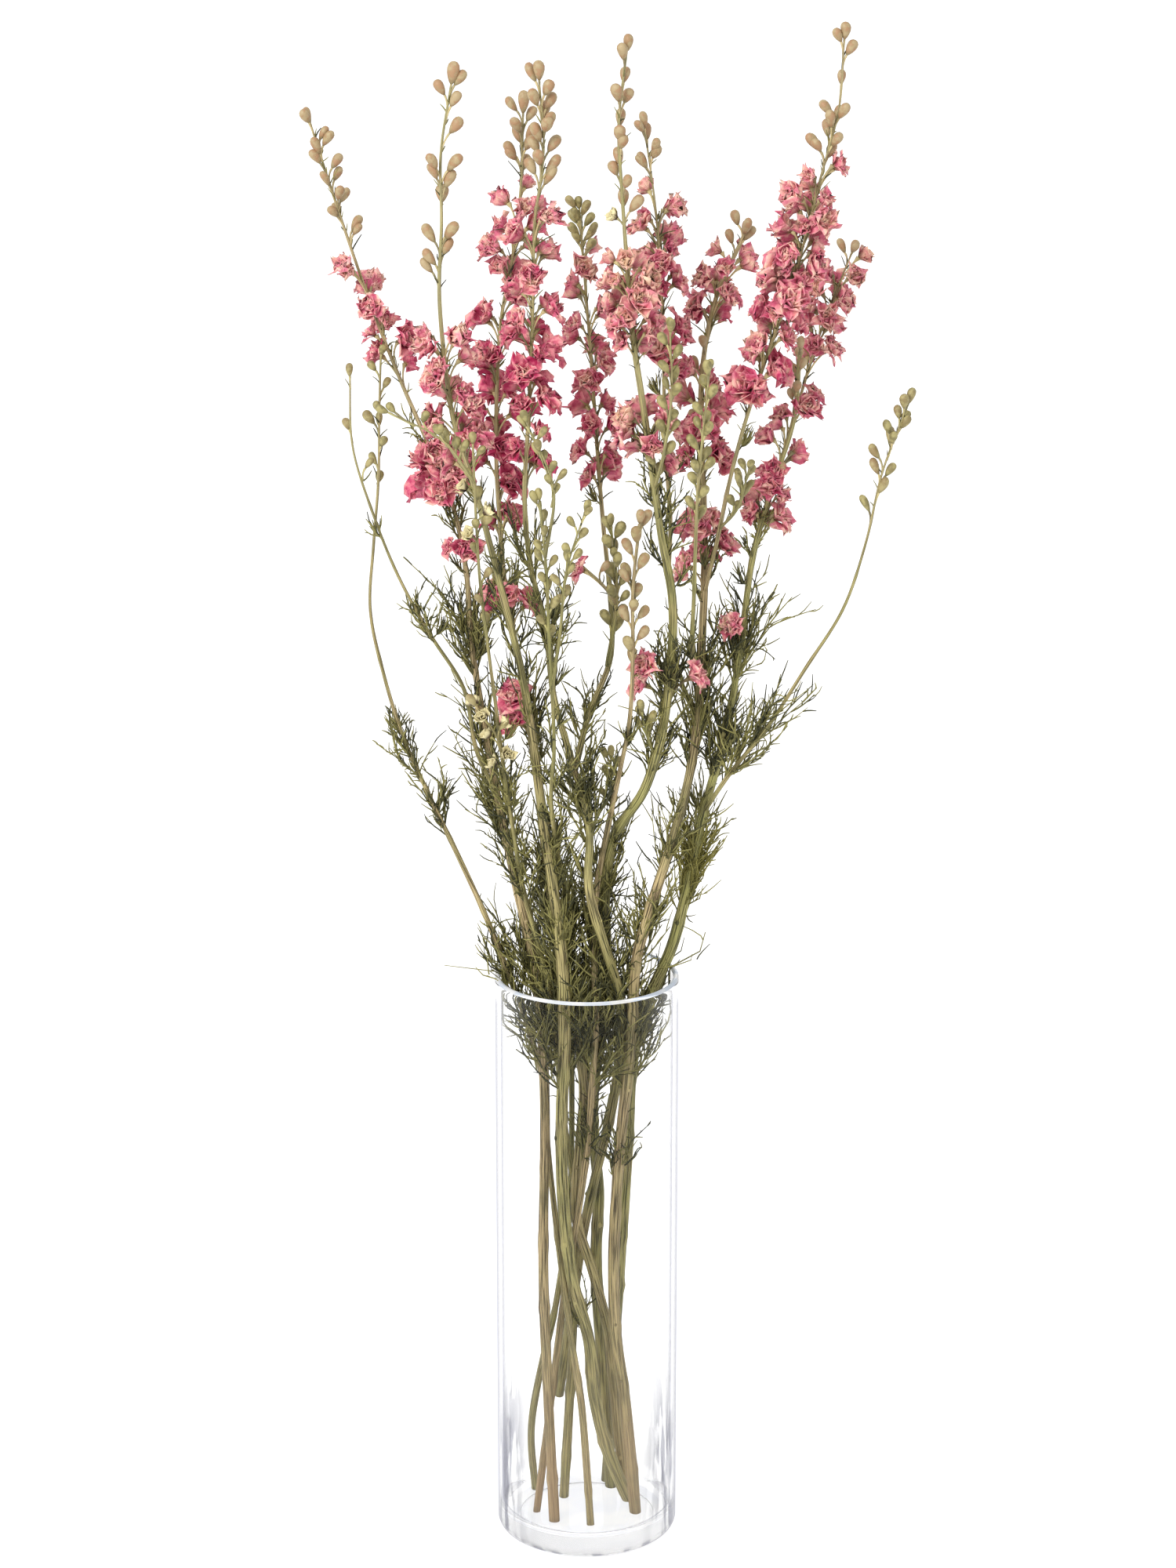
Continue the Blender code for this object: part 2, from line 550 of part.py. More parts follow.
def bloom_mesh(root, base, facing, radius, draw):
    """A double bloom: a tapering stalk from the stem's middle, five outer petals and five inner ones."""
    bm = bmesh.new()
    axes = frame_of(facing)
    turn = draw.uniform(0, 2 * math.pi)
    step = math.pi / 5
    outer_radii = []
    outer_heights = []
    for _ in range(5):
        outer_radii += [radius * draw.uniform(0.92, 1.15), radius * draw.uniform(0.58, 0.72)]
        outer_heights += [radius * draw.uniform(0.05, 0.5), radius * draw.uniform(0.1, 0.25)]
    stalk_end = ring_of(bm, base, axes, [STALK_END_RADIUS] * 5, [-1.0] * 5, turn)
    outer = ring_of(bm, base, axes, outer_radii, outer_heights, turn)
    waist = ring_of(bm, base, axes, [radius * 0.42] * 5,
                    [radius * draw.uniform(0.42, 0.5) for _ in range(5)], turn + step)
    inner = ring_of(bm, base, axes, [radius * draw.uniform(0.56, 0.78) for _ in range(5)],
                    [radius * draw.uniform(0.72, 0.98) for _ in range(5)], turn + step)
    middle = bm.verts.new((Vector(base) + Vector(facing) * radius * 0.5) * MM)
    apex = bm.verts.new((Vector(root) - Vector(facing) * ROOT_DEPTH) * MM)
    fan(bm, stalk_end, apex, BUD, False)
    skin(bm, stalk_end, outer, BLOOM)
    skin(bm, outer, waist, BLOOM)
    skin(bm, waist, inner, BLOOM)
    fan(bm, inner, middle, BLOOM, True)
    return bm


def bud_mesh(root, base, direction, length, radius):
    """A pointed bud on its three-sided stalk, which starts in the stem's middle."""
    bm = bmesh.new()
    axes = frame_of(direction)
    neck = ring_of(bm, base, axes, [BUD_STALK_RADIUS] * 3, [0] * 3)
    belly = ring_of(bm, base, axes, [radius] * 6, [length * 0.42] * 6)
    tip = bm.verts.new((Vector(base) + Vector(direction) * length) * MM)
    apex = bm.verts.new((Vector(root) - Vector(direction) * ROOT_DEPTH) * MM)
    fan(bm, neck, apex, BUD, False)
    skin(bm, neck, belly, BUD)
    fan(bm, belly, tip, BUD, True)
    return bm


def leaf_mesh(root, fork, tips):
    """A leaf's stalk, from the stem's middle, and its threads, each on its own share of the fork."""
    bm = bmesh.new()
    rachis = fork - root
    axes = frame_of(rachis)
    ring = ring_of(bm, fork, axes, [FORK_RADIUS] * THREADS, [0] * THREADS)
    apex = bm.verts.new((Vector(root) - axes.col[2] * ROOT_DEPTH) * MM)
    middle = bm.verts.new((Vector(fork) + axes.col[2] * FORK_RADIUS) * MM)
    fan(bm, ring, apex, LEAF, False)
    for k, tip in enumerate(tips):
        share = [ring[k], ring[(k + 1) % THREADS], middle]
        fan(bm, share, bm.verts.new(Vector(tip) * MM), LEAF, True)
    return bm


def material(name, colour, roughness, transmission=0.0):
    made = bpy.data.materials.new(name)
    made.use_nodes = True
    shader = made.node_tree.nodes["Principled BSDF"]
    shader.inputs["Base Color"].default_value = colour
    shader.inputs["Roughness"].default_value = roughness
    shader.inputs["Metallic"].default_value = 0.0
    shader.inputs["Transmission Weight"].default_value = transmission
    return made


def to_object(name, bm, materials, collection):
    mesh = bpy.data.meshes.new(name)
    bm.to_mesh(mesh)
    bm.free()
    for slot in materials:
        mesh.materials.append(slot)
    made = bpy.data.objects.new(name, mesh)
    collection.objects.link(made)
    return made


def fuse(name, base, pieces):
    """The base and the collection's pieces as one solid, in the base's place."""
    join = base.modifiers.new("Grown together", "BOOLEAN")
    join.operation = "UNION"
    join.operand_type = "COLLECTION"
    join.collection = pieces
    join.solver = "MANIFOLD"
    graph = bpy.context.evaluated_depsgraph_get()
    mesh = bpy.data.meshes.new_from_object(base.evaluated_get(graph))
    mesh.name = name
    base.modifiers.clear()
    base.data = mesh
    for piece in list(pieces.objects):
        bpy.data.objects.remove(piece)
    bpy.data.collections.remove(pieces)


def build_vase(glass):
    """The cylinder, turned from its section: flat underside, thick rounded floor and a rounded rim."""
    inside = VASE_RADIUS - VASE_WALL
    rim = VASE_WALL * 0.25
    section = [
        (0, 0), (VASE_RADIUS - 7, 0), (VASE_RADIUS - 2, 2), (VASE_RADIUS, 7),
        (VASE_RADIUS, VASE_HEIGHT - rim), (VASE_RADIUS - rim, VASE_HEIGHT), (inside + rim, VASE_HEIGHT),
        (inside, VASE_HEIGHT - rim), (inside, VASE_FLOOR + 9), (inside - 3, VASE_FLOOR + 3),
        (inside - FLOOR_ROUNDING, VASE_FLOOR), (0, VASE_FLOOR)]
    bm = bmesh.new()
    corners = [bm.verts.new((radius * MM, 0, height * MM)) for radius, height in section]
    edges = [bm.edges.new(pair) for pair in zip(corners, corners[1:])]
    bmesh.ops.spin(bm, geom=corners + edges, cent=(0, 0, 0), axis=(0, 0, 1), angle=2 * math.pi,
                   steps=VASE_SIDES, use_merge=True)
    bmesh.ops.remove_doubles(bm, verts=bm.verts, dist=0.01 * MM)
    bmesh.ops.recalc_face_normals(bm, faces=bm.faces)
    vase = to_object("vase", bm, [glass], bpy.context.scene.collection)
    vase.data.shade_smooth()
    vase.data.set_sharp_from_angle(angle=math.radians(40))


def build_stem(name, lines, blooms, buds, leaves, materials, draw):
    """One cut stem with everything that grows on it."""
    main, *branches = [key for key in STRANDS if STRANDS[key][0] == name]
    root, tip = STRANDS[main][3:5]
    radii = radius_along(root, tip, len(lines[main]))
    base = to_object(name, tube(lines[main], radii, 6 if root > THICK_STALK else 5),
                     materials, bpy.context.scene.collection)
    pieces = bpy.data.collections.new("Pieces of " + name)
    bpy.context.scene.collection.children.link(pieces)
    for branch in branches:
        root, tip = STRANDS[branch][3:5]
        radii = radius_along(root, tip, len(lines[branch]))
        to_object(branch, tube(lines[branch], radii, 5 if root > THIN_BRANCH else 4), materials, pieces)
    for node, *place in blooms:
        if node == name:
            to_object("bloom", bloom_mesh(*place, draw), materials, pieces)
    for node, *place in buds:
        if node == name:
            to_object("bud", bud_mesh(*place), materials, pieces)
    for node, *place in leaves:
        if node == name:
            to_object("leaf", leaf_mesh(*place), materials, pieces)
    fuse(name, base, pieces)


def main():
    for old in list(bpy.data.objects):
        bpy.data.objects.remove(old)
    draw = random.Random(SEED)
    materials = [
        material("Stem", STEM_COLOUR, 0.6), material("Leaf", LEAF_COLOUR, 0.7),
        material("Bud", BUD_COLOUR, 0.6), material("Bloom", BLOOM_COLOUR, 0.6)]
    build_vase(material("Clear glass", GLASS_COLOUR, 0.03, 1.0))
    lines = lay_strands()
    crowd = Crowd()
    for name, line in lines.items():
        node, parent, height, root, tip, route = STRANDS[name]
        radii = radius_along(root, tip, len(line))
        crowd.add(node, list(zip(line, line[1:], radii)))
    blooms = place_blooms(lines, crowd, draw)
    buds = place_buds(lines, crowd, draw)
    leaves = place_leaves(lines, crowd, draw)
    for name in dict.fromkeys(strand[0] for strand in STRANDS.values()):
        build_stem(name, lines, blooms, buds, leaves, materials, draw)


main()
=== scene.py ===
"""A bunch of dried double larkspur in a tall clear glass cylinder vase, dressed for its picture.

The stems stand where the construction model has them: their routes, blooms, buds and leaves are laid by
the same rule, in millimetres, and each is then shaped finely. +X is to the right, +Y away from the viewer
and +Z up, from the centre of the vase's underside.
"""
import json
import math
import random
from collections import namedtuple

import bmesh
import bpy
import numpy as np
from mathutils import Matrix, Vector

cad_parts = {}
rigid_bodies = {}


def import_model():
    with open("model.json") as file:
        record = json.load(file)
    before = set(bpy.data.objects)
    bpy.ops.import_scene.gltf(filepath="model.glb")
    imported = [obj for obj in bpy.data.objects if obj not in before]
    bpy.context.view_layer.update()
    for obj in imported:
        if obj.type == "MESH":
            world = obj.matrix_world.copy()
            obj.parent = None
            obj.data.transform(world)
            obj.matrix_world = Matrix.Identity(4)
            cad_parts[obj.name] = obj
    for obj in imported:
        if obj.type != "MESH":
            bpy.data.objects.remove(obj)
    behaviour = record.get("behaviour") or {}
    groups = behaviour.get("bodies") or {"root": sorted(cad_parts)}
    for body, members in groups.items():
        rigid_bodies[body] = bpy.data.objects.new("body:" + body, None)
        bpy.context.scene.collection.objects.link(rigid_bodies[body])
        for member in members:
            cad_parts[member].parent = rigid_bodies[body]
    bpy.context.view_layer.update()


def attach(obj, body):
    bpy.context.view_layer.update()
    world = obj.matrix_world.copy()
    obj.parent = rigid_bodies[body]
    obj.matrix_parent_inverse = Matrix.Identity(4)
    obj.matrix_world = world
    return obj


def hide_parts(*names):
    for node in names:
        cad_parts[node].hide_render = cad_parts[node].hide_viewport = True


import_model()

MM = 0.001

# The vase
VASE_RADIUS = 50.0
VASE_HEIGHT = 325.0
VASE_WALL = 3.0
VASE_FLOOR = 10.5
FLOOR_ROUNDING = 9.0
VASE_SIDES = 128
INSIDE_RADIUS = VASE_RADIUS - VASE_WALL
WALL_RINGS = (60, 120, 180, 240, 300, 317, 321)
RIM_DEPTH = 1.8
UNDERSIDE_TOP = 1.1

# Clearance of neighbouring pieces, and of two stalks that lean on each other
GAP = 0.3
LEANING_GAP = 0.4
FOOT_Z = VASE_FLOOR + GAP
SLANT_ALLOWANCE = 1.16

# Laying the stems: distance between the points of a strand, rounds of pushing apart, and those of them
# that also smooth
STATION = 36.0
ROUNDS = 170
SMOOTH_ROUNDS = 130

# How much of an overlap one round takes away, and how much of that goes up or down
PUSH_SHARE = 0.55
UPRIGHT_SHARE = 0.3

# Every so many rounds neighbours are looked for anew, within this distance
NEIGHBOUR_ROUNDS = 10
NEIGHBOUR_REACH = STATION * 1.6

# How much of its parent's shift each of a branch's first points follows
ROOT_SHARES = (1.0, 0.6, 0.25)

# Further off than anything
FAR = 1e9

# What grows on the stalks
BLOOM_RADIUS = 10.6
BLOOM_STALK_RADIUS = 0.9
BUD_LENGTH = 9.0
BUD_RADIUS = 2.9
BUD_STALK_RADIUS = 0.8
THREADS = 9
THREAD_RADIUS = 0.5
THREAD_REACHES = (1.0, 0.8, 0.6, 0.4, 0.2, 0.1)
FORK_RADIUS = 1.1
GOLDEN_ANGLE = 137.5
SEED = 7

# To find room, each is turned from its wanted azimuth by these angles, and a bloom is made smaller
BLOOM_TURNS = (0, 20, -20, 40, -40, 65, -65, 95, -95, 130, -130, 180)
BLOOM_SCALES = (1.0, 0.88, 0.76, 0.66)
BUD_TURNS = (0, 35, -35, 70, -70, 110, -110, 180)
LEAF_TURNS = (0, 30, -30, 60, -60, 95, -95, 130, -130, 180)

# Each strand: the cut stem that it grows with, its parent strand and the height where it leaves it (None
# for a main stem), its radius at the root and at the tip, and its route.
Strand = namedtuple("Strand", "node parent leaves_at root tip route")
STRANDS = {
    "a": ("stem_a", None, 0, 3.0, 1.0, [
        (-18, -21, 11), (-22, -16, 100), (-24, -8, 165), (-23, 0, 253), (-28, 8, 323), (-40, 9, 381),
        (-52, 15, 442), (-63, 22, 514), (-66, 24, 560), (-82, 28, 606), (-100, 30, 649),
        (-115, 32, 689), (-130, 34, 734), (-144, 36, 779)]),
    "a_left": ("stem_a", "a", 422, 1.3, 0.7, [
        (-55, 5, 430), (-61, -3, 462), (-66, -9, 489), (-84, -16, 521), (-105, -22, 566),
        (-121, -26, 620), (-124, -27, 642), (-122, -27, 657)]),
    "b": ("stem_b", None, 0, 3.7, 0.9, [
        (23, 6, 11), (6, 1, 62), (2, -4, 107), (-9, -9, 156), (-14, -14, 227), (-12, -14, 299),
        (-15, -12, 352), (-23, -12, 414), (-33, -18, 491), (-45, -24, 546), (-58, -31, 600),
        (-69, -36, 639), (-75, -42, 704), (-72, -44, 762), (-75, -45, 784), (-68, -45, 808)]),
    "c": ("stem_c", None, 0, 3.0, 1.0, [
        (-16, 30, 64), (-7, 20, 134), (1, 15, 186), (13, 10, 240), (19, 2, 295), (13, -6, 335),
        (2, -15, 362), (1, -19, 390), (1, -20, 416), (-6, -15, 443), (-16, -14, 473), (-22, -17, 527),
        (-32, -21, 570), (-31, -23, 618), (-28, -25, 682), (-26, -26, 746), (-20, -26, 786),
        (-24, -26, 808)]),
    "c_back": ("stem_c", "c", 443, 2.2, 0.8, [
        (-3, -4, 456), (2, 8, 471), (12, 20, 492), (13, 32, 519), (10, 46, 550), (7, 56, 583),
        (5, 64, 611), (2, 72, 653), (-1, 78, 690), (-4, 82, 728)]),
    "c_front": ("stem_c", "c_back", 492, 1.3, 0.8, [
        (15, 20, 511), (16, 12, 530), (14, 6, 551), (13, 2, 572)]),
    "c_front_left": ("stem_c", "c_front", 528, 0.9, 0.7, [
        (10, 4, 539), (4, 0, 545), (-2, -3, 552)]),
    "d": ("stem_d", None, 0, 3.0, 0.9, [
        (22, 14, 11), (18, 16, 45), (13, 11, 100), (7, 5, 139), (-5, -1, 175), (-5, 4, 210),
        (-2, 4, 265), (-11, 0, 323), (-18, 2, 361), (-24, 4, 409), (-28, 6, 455), (-35, 8, 492),
        (-43, 16, 532), (-46, 19, 569), (-48, 20, 620), (-45, 20, 678), (-40, 20, 703),
        (-34, 20, 752), (-33, 20, 786)]),
    "e": ("stem_e", None, 0, 3.5, 0.8, [
        (14, 24, 11), (11, 24, 75), (6, 21, 142), (7, 24, 198), (3, 24, 245), (12, 20, 311),
        (9, 14, 353), (15, 0, 404), (31, -12, 433), (41, -20, 474), (45, -23, 535), (37, -25, 583),
        (31, -27, 631), (24, -29, 674), (18, -32, 751), (16, -32, 785), (20, -32, 823)]),
    "e_back": ("stem_e", "e", 551, 2.4, 0.8, [
        (45, -14, 562), (44, -4, 576), (41, 12, 617), (40, 18, 674), (37, 21, 727), (30, 22, 778)]),
    "e_front": ("stem_e", "e", 598, 1.2, 0.7, [
        (38, -40, 613), (43, -54, 646), (42, -57, 687)]),
    "e_low": ("stem_e", "e", 405, 0.9, 0.7, [
        (13, 8, 420), (13, 14, 441)]),
    "e_low_front": ("stem_e", "e", 452, 0.9, 0.7, [
        (31, -28, 468), (29, -32, 480)]),
    "f": ("stem_f", None, 0, 3.4, 0.8, [
        (27, -10, 11), (22, -4, 69), (15, -2, 132), (17, 0, 211), (24, -1, 286), (27, -5, 336),
        (44, -6, 396), (54, 0, 432), (60, 8, 473), (62, 16, 526), (63, 24, 560), (61, 37, 604),
        (62, 48, 653), (70, 55, 689), (83, 58, 717)]),
    "f_right": ("stem_f", "f", 532, 2.4, 0.8, [
        (66, 13, 547), (71, 6, 575), (79, -3, 616), (93, -12, 665), (106, -17, 705), (116, -19, 745),
        (125, -21, 783), (132, -21, 812), (130, -21, 828)]),
    "f_front": ("stem_f", "f", 486, 1.4, 0.7, [
        (56, -8, 505), (56, -34, 552), (57, -52, 605), (62, -64, 666)]),
    "f_small": ("stem_f", "f_right", 570, 0.9, 0.7, [
        (77, -8, 580), (82, -24, 598), (84, -28, 609)]),
    "g": ("stem_g", None, 0, 3.5, 0.9, [
        (13, 35, 11), (15, 28, 75), (18, 22, 129), (24, 20, 209), (28, 18, 272), (41, 12, 320),
        (54, 14, 348), (59, 15, 383), (66, 12, 417), (74, 12, 450), (82, 13, 494), (89, 15, 554),
        (103, 18, 605), (112, 20, 637), (112, 20, 662)]),
    "g_right": ("stem_g", "g", 608, 1.6, 0.8, [
        (111, 32, 628), (124, 46, 668), (134, 50, 692), (140, 51, 709)]),
    "g_far_right": ("stem_g", "g", 413, 1.3, 0.7, [
        (69, 0, 425), (78, -10, 441), (98, -20, 471), (111, -24, 494), (138, -30, 543),
        (148, -32, 585), (155, -33, 617), (165, -34, 644)]),
    "h": ("stem_h", None, 0, 1.8, 0.9, [
        (2, -26, 11), (-3, -20, 81), (-11, -10, 133), (-21, 12, 212), (-25, 16, 261), (-43, 10, 322),
        (-60, 6, 368), (-81, 7, 415), (-96, 10, 448), (-109, 14, 490), (-116, 17, 531),
        (-111, 19, 578), (-110, 20, 616), (-108, 20, 666)]),
    "i": ("stem_i", None, 0, 1.7, 0.8, [
        (-33, 22, 11), (-34, 20, 58), (-21, 15, 117), (-11, 14, 184), (-9, 14, 257), (-10, 14, 321),
        (-11, 6, 360), (-15, -8, 392), (-19, -24, 425), (-17, -44, 470), (-19, -58, 514),
        (-21, -70, 570), (-24, -75, 602)]),
    "i_left": ("stem_i", "i", 572, 1.0, 0.7, [
        (-17, -76, 600), (-19, -79, 627), (-30, -80, 643)]),
    "i_right": ("stem_i", "i", 498, 1.0, 0.7, [
        (-14, -62, 525), (-13, -72, 555), (-7, -79, 576), (-1, -83, 598)]),
    "j": ("stem_j", None, 0, 1.7, 0.8, [
        (-13, 10, 11), (-9, 10, 85), (-6, 8, 153), (-6, 9, 183), (-14, 2, 253), (-20, 2, 317),
        (-32, -4, 362), (-39, -14, 408), (-44, -26, 448), (-48, -36, 487), (-55, -49, 553),
        (-57, -56, 595), (-58, -60, 628)]),
    "j_left": ("stem_j", "j", 608, 0.9, 0.7, [
        (-63, -62, 624), (-78, -65, 634), (-100, -67, 646)]),
    "j_low": ("stem_j", "j", 448, 0.9, 0.7, [
        (-46, -33, 463), (-50, -39, 474), (-58, -43, 486)]),
    "k": ("stem_k", None, 0, 2.1, 0.8, [
        (-28, -9, 11), (-18, 0, 92), (-12, 1, 142), (-7, -7, 176), (0, -6, 224), (5, -8, 304),
        (4, 4, 337), (6, -1, 379), (16, -18, 436), (23, -36, 482), (24, -46, 529), (24, -52, 565),
        (27, -56, 586)]),
}
STRANDS = {name: Strand(*facts) for name, facts in STRANDS.items()}
STEMS = list(dict.fromkeys(strand.node for strand in STRANDS.values()))

# Blooms along a strand: the row's lowest and highest height, how many, their size against BLOOM_RADIUS,
# their distance from the stem, and the azimuth of the lowest one.
BLOOM_ROWS = [
    ("a", 656, 708, 6, 1.0, 11, 200), ("a", 590, 606, 3, 1.35, 11, 160),
    ("a", 556, 560, 1, 1.0, 11, 290), ("b", 624, 688, 8, 1.0, 13, 20),
    ("c", 640, 745, 11, 1.0, 11, 330), ("c", 610, 612, 1, 0.9, 10, 0),
    ("c_back", 588, 704, 10, 0.95, 10, 60), ("c_front_left", 549, 551, 1, 0.7, 6, 180),
    ("d", 590, 748, 13, 1.05, 12, 180), ("d", 572, 576, 1, 1.0, 11, 0),
    ("d", 526, 540, 2, 0.95, 14, 340), ("d", 466, 470, 1, 0.95, 17, 215),
    ("e", 684, 718, 8, 0.95, 12, 200), ("e", 628, 640, 3, 1.1, 12, 180),
    ("e", 494, 502, 2, 0.9, 20, 215), ("e_back", 694, 742, 6, 0.95, 11, 0),
    ("e_back", 662, 672, 1, 1.35, 9, 250), ("f", 680, 706, 5, 0.95, 12, 180),
    ("f", 603, 640, 5, 1.15, 12, 330), ("f", 548, 578, 4, 0.95, 13, 190),
    ("f_right", 684, 752, 13, 1.05, 12, 20), ("f_right", 766, 769, 1, 0.75, 8, 0),
    ("f_right", 646, 666, 2, 1.25, 11, 250), ("g_right", 660, 703, 6, 0.95, 12, 350),
    ("g_right", 630, 634, 1, 0.95, 11, 300), ("g", 570, 622, 5, 0.95, 12, 340),
    ("g", 516, 520, 1, 0.85, 13, 235),
]

# Buds along a strand: the row's lowest and highest height, how many, their size, the length of their stalks,
# and the azimuth of the lowest one.
BUD_ROWS = [
    ("a", 714, 779, 7, 0.95, 4, 0), ("a_left", 596, 656, 3, 0.8, 4, 0),
    ("b", 700, 806, 6, 1.15, 6, 180), ("c", 752, 806, 5, 1.1, 5, 0), ("d", 756, 784, 3, 1.1, 5, 180),
    ("c_back", 708, 727, 3, 0.9, 4, 0), ("e", 730, 821, 5, 1.1, 5, 0),
    ("e_back", 750, 777, 3, 0.95, 5, 180), ("f", 711, 716, 2, 1.0, 4, 0),
    ("f_right", 760, 827, 4, 1.05, 5, 180), ("g", 634, 660, 3, 0.85, 5, 0),
    ("g_right", 707, 708, 1, 0.9, 4, 0), ("g_far_right", 598, 643, 5, 0.9, 5, 0),
    ("h", 606, 665, 2, 0.9, 4, 180), ("i", 530, 600, 3, 0.8, 5, 0), ("i_left", 604, 642, 3, 0.8, 4, 0),
    ("i_right", 560, 597, 2, 0.8, 4, 0), ("j_left", 618, 645, 3, 0.85, 4, 90),
    ("j", 566, 627, 2, 0.85, 5, 0), ("j_low", 466, 485, 3, 0.9, 3, 0), ("k", 520, 585, 3, 1.0, 4, 0),
    ("c_front", 520, 571, 4, 0.8, 4, 0), ("c_front_left", 543, 547, 1, 0.8, 4, 0),
    ("e_front", 618, 686, 3, 0.8, 4, 0), ("f_front", 600, 665, 3, 0.8, 4, 0),
    ("f_small", 590, 608, 3, 0.75, 3, 0), ("e_low", 424, 440, 2, 0.75, 4, 0),
    ("e_low_front", 470, 479, 2, 0.75, 3, 0),
]

# Feathery leaves along a strand: the row's lowest and highest height, how many, and their length.
LEAF_ROWS = [
    ("a", 275, 560, 7, 33), ("a_left", 485, 600, 2, 22), ("b", 280, 610, 7, 32), ("c", 300, 560, 5, 31),
    ("c_back", 500, 590, 2, 25), ("d", 265, 590, 7, 32), ("e", 272, 610, 7, 33),
    ("e_back", 580, 660, 2, 25), ("f", 268, 620, 7, 35), ("f_right", 590, 640, 1, 25),
    ("g", 355, 560, 5, 34), ("g_far_right", 420, 450, 1, 38), ("h", 395, 480, 2, 30),
    ("i", 320, 510, 3, 25), ("j", 290, 500, 3, 25), ("k", 285, 490, 3, 27),
]


def curve_points(points, step):
    """Points every step along a smooth curve through the route's points, its two ends among them."""
    ends = [2 * points[0] - points[1]] + list(points) + [2 * points[-1] - points[-2]]
    fine = []
    for p0, p1, p2, p3 in zip(ends, ends[1:], ends[2:], ends[3:]):
        for t in np.linspace(0, 1, 12, endpoint=False):
            fine.append(0.5 * (2 * p1 + (p2 - p0) * t + (2 * p0 - 5 * p1 + 4 * p2 - p3) * t ** 2
                               + (3 * p1 - p0 - 3 * p2 + p3) * t ** 3))
    fine = np.array(fine + [points[-1]])
    along = np.concatenate([[0], np.cumsum(np.linalg.norm(np.diff(fine, axis=0), axis=1))])
    count = max(2, round(along[-1] / step))
    wanted = np.linspace(0, along[-1], count + 1)
    return np.stack([np.interp(wanted, along, fine[:, axis]) for axis in range(3)], axis=1)


def at_height(line, z):
    """The point of a strand at a height, and its direction there."""
    heights = line[:, 2]
    index = int(np.clip(np.searchsorted(heights, z) - 1, 0, len(line) - 2))
    t = (z - heights[index]) / max(heights[index + 1] - heights[index], 1e-6)
    point = line[index] + (line[index + 1] - line[index]) * np.clip(t, 0, 1)
    direction = line[index + 1] - line[index]
    return point, direction / np.linalg.norm(direction)


def radius_along(strand, count):
    """A strand's radius at each of its points, as the construction model has it."""
    return [strand.root + (strand.tip - strand.root) * (k / (count - 1)) ** 1.8 for k in range(count)]


def nearest_on_segments(starts, ends, other_starts, other_ends):
    """Where pairs of segments come closest: the fractions along each, and the vector between them."""
    along, other_along, offset = ends - starts, other_ends - other_starts, starts - other_starts
    length, other_length = (along * along).sum(-1), (other_along * other_along).sum(-1)
    slant = (along * other_along).sum(-1)
    ahead, other_ahead = (along * offset).sum(-1), (other_along * offset).sum(-1)
    crossing = length * other_length - slant * slant
    parallel = crossing <= 1e-9
    solved = (slant * other_ahead - ahead * other_length) / np.where(parallel, 1, crossing)
    fraction = np.clip(np.where(parallel, 0.5, solved), 0, 1)
    other_fraction = np.clip((slant * fraction + other_ahead) / np.maximum(other_length, 1e-9), 0, 1)
    fraction = np.clip((slant * other_fraction - ahead) / np.maximum(length, 1e-9), 0, 1)
    between = starts + along * fraction[..., None] - other_starts - other_along * other_fraction[..., None]
    return fraction, other_fraction, between


def keep_in_vase(points, first, radii):
    """Moves the segments that start at the given points inwards, where they would reach the glass."""
    for k in first:
        rim = (VASE_HEIGHT - points[k, 2]) / max(points[k + 1, 2] - points[k, 2], 1)
        for t in (0.0, 0.5, 1.0, min(max(rim, 0.0), 1.0)):
            place = points[k] * (1 - t) + points[k + 1] * t
            if place[2] > VASE_HEIGHT + 1:
                continue
            room = INSIDE_RADIUS - GAP - SLANT_ALLOWANCE * max(radii[k], radii[k + 1])
            if place[2] < VASE_FLOOR + FLOOR_ROUNDING:
                room -= FLOOR_ROUNDING
            out = math.hypot(place[0], place[1])
            if out > room:
                push = place[:2] * (room / out - 1)
                points[k, :2] += push * (1 - t)
                points[k + 1, :2] += push * t


def push_apart(points, radii, first, second):
    """Moves two lists of segments of different stems away from each other where they would overlap."""
    t, other_t, between = nearest_on_segments(
        points[first], points[first + 1], points[second], points[second + 1])
    widest = np.maximum(radii[:-1], radii[1:])
    wanted = widest[first] + widest[second] + LEANING_GAP
    distance = np.linalg.norm(between, axis=1)
    moves = np.zeros_like(points)
    shares = np.zeros(len(points))
    for k in np.flatnonzero(distance < wanted):
        push = between[k] / max(distance[k], 0.05) * (wanted[k] - distance[k]) * PUSH_SHARE
        push[2] *= UPRIGHT_SHARE
        i, j = first[k], second[k]
        ends = ((i, 1 - t[k], 1), (i + 1, t[k], 1), (j, 1 - other_t[k], -1), (j + 1, other_t[k], -1))
        for index, weight, sign in ends:
            moves[index] += push * weight * sign
            shares[index] += weight
    points += moves / np.maximum(shares, 1)[:, None]


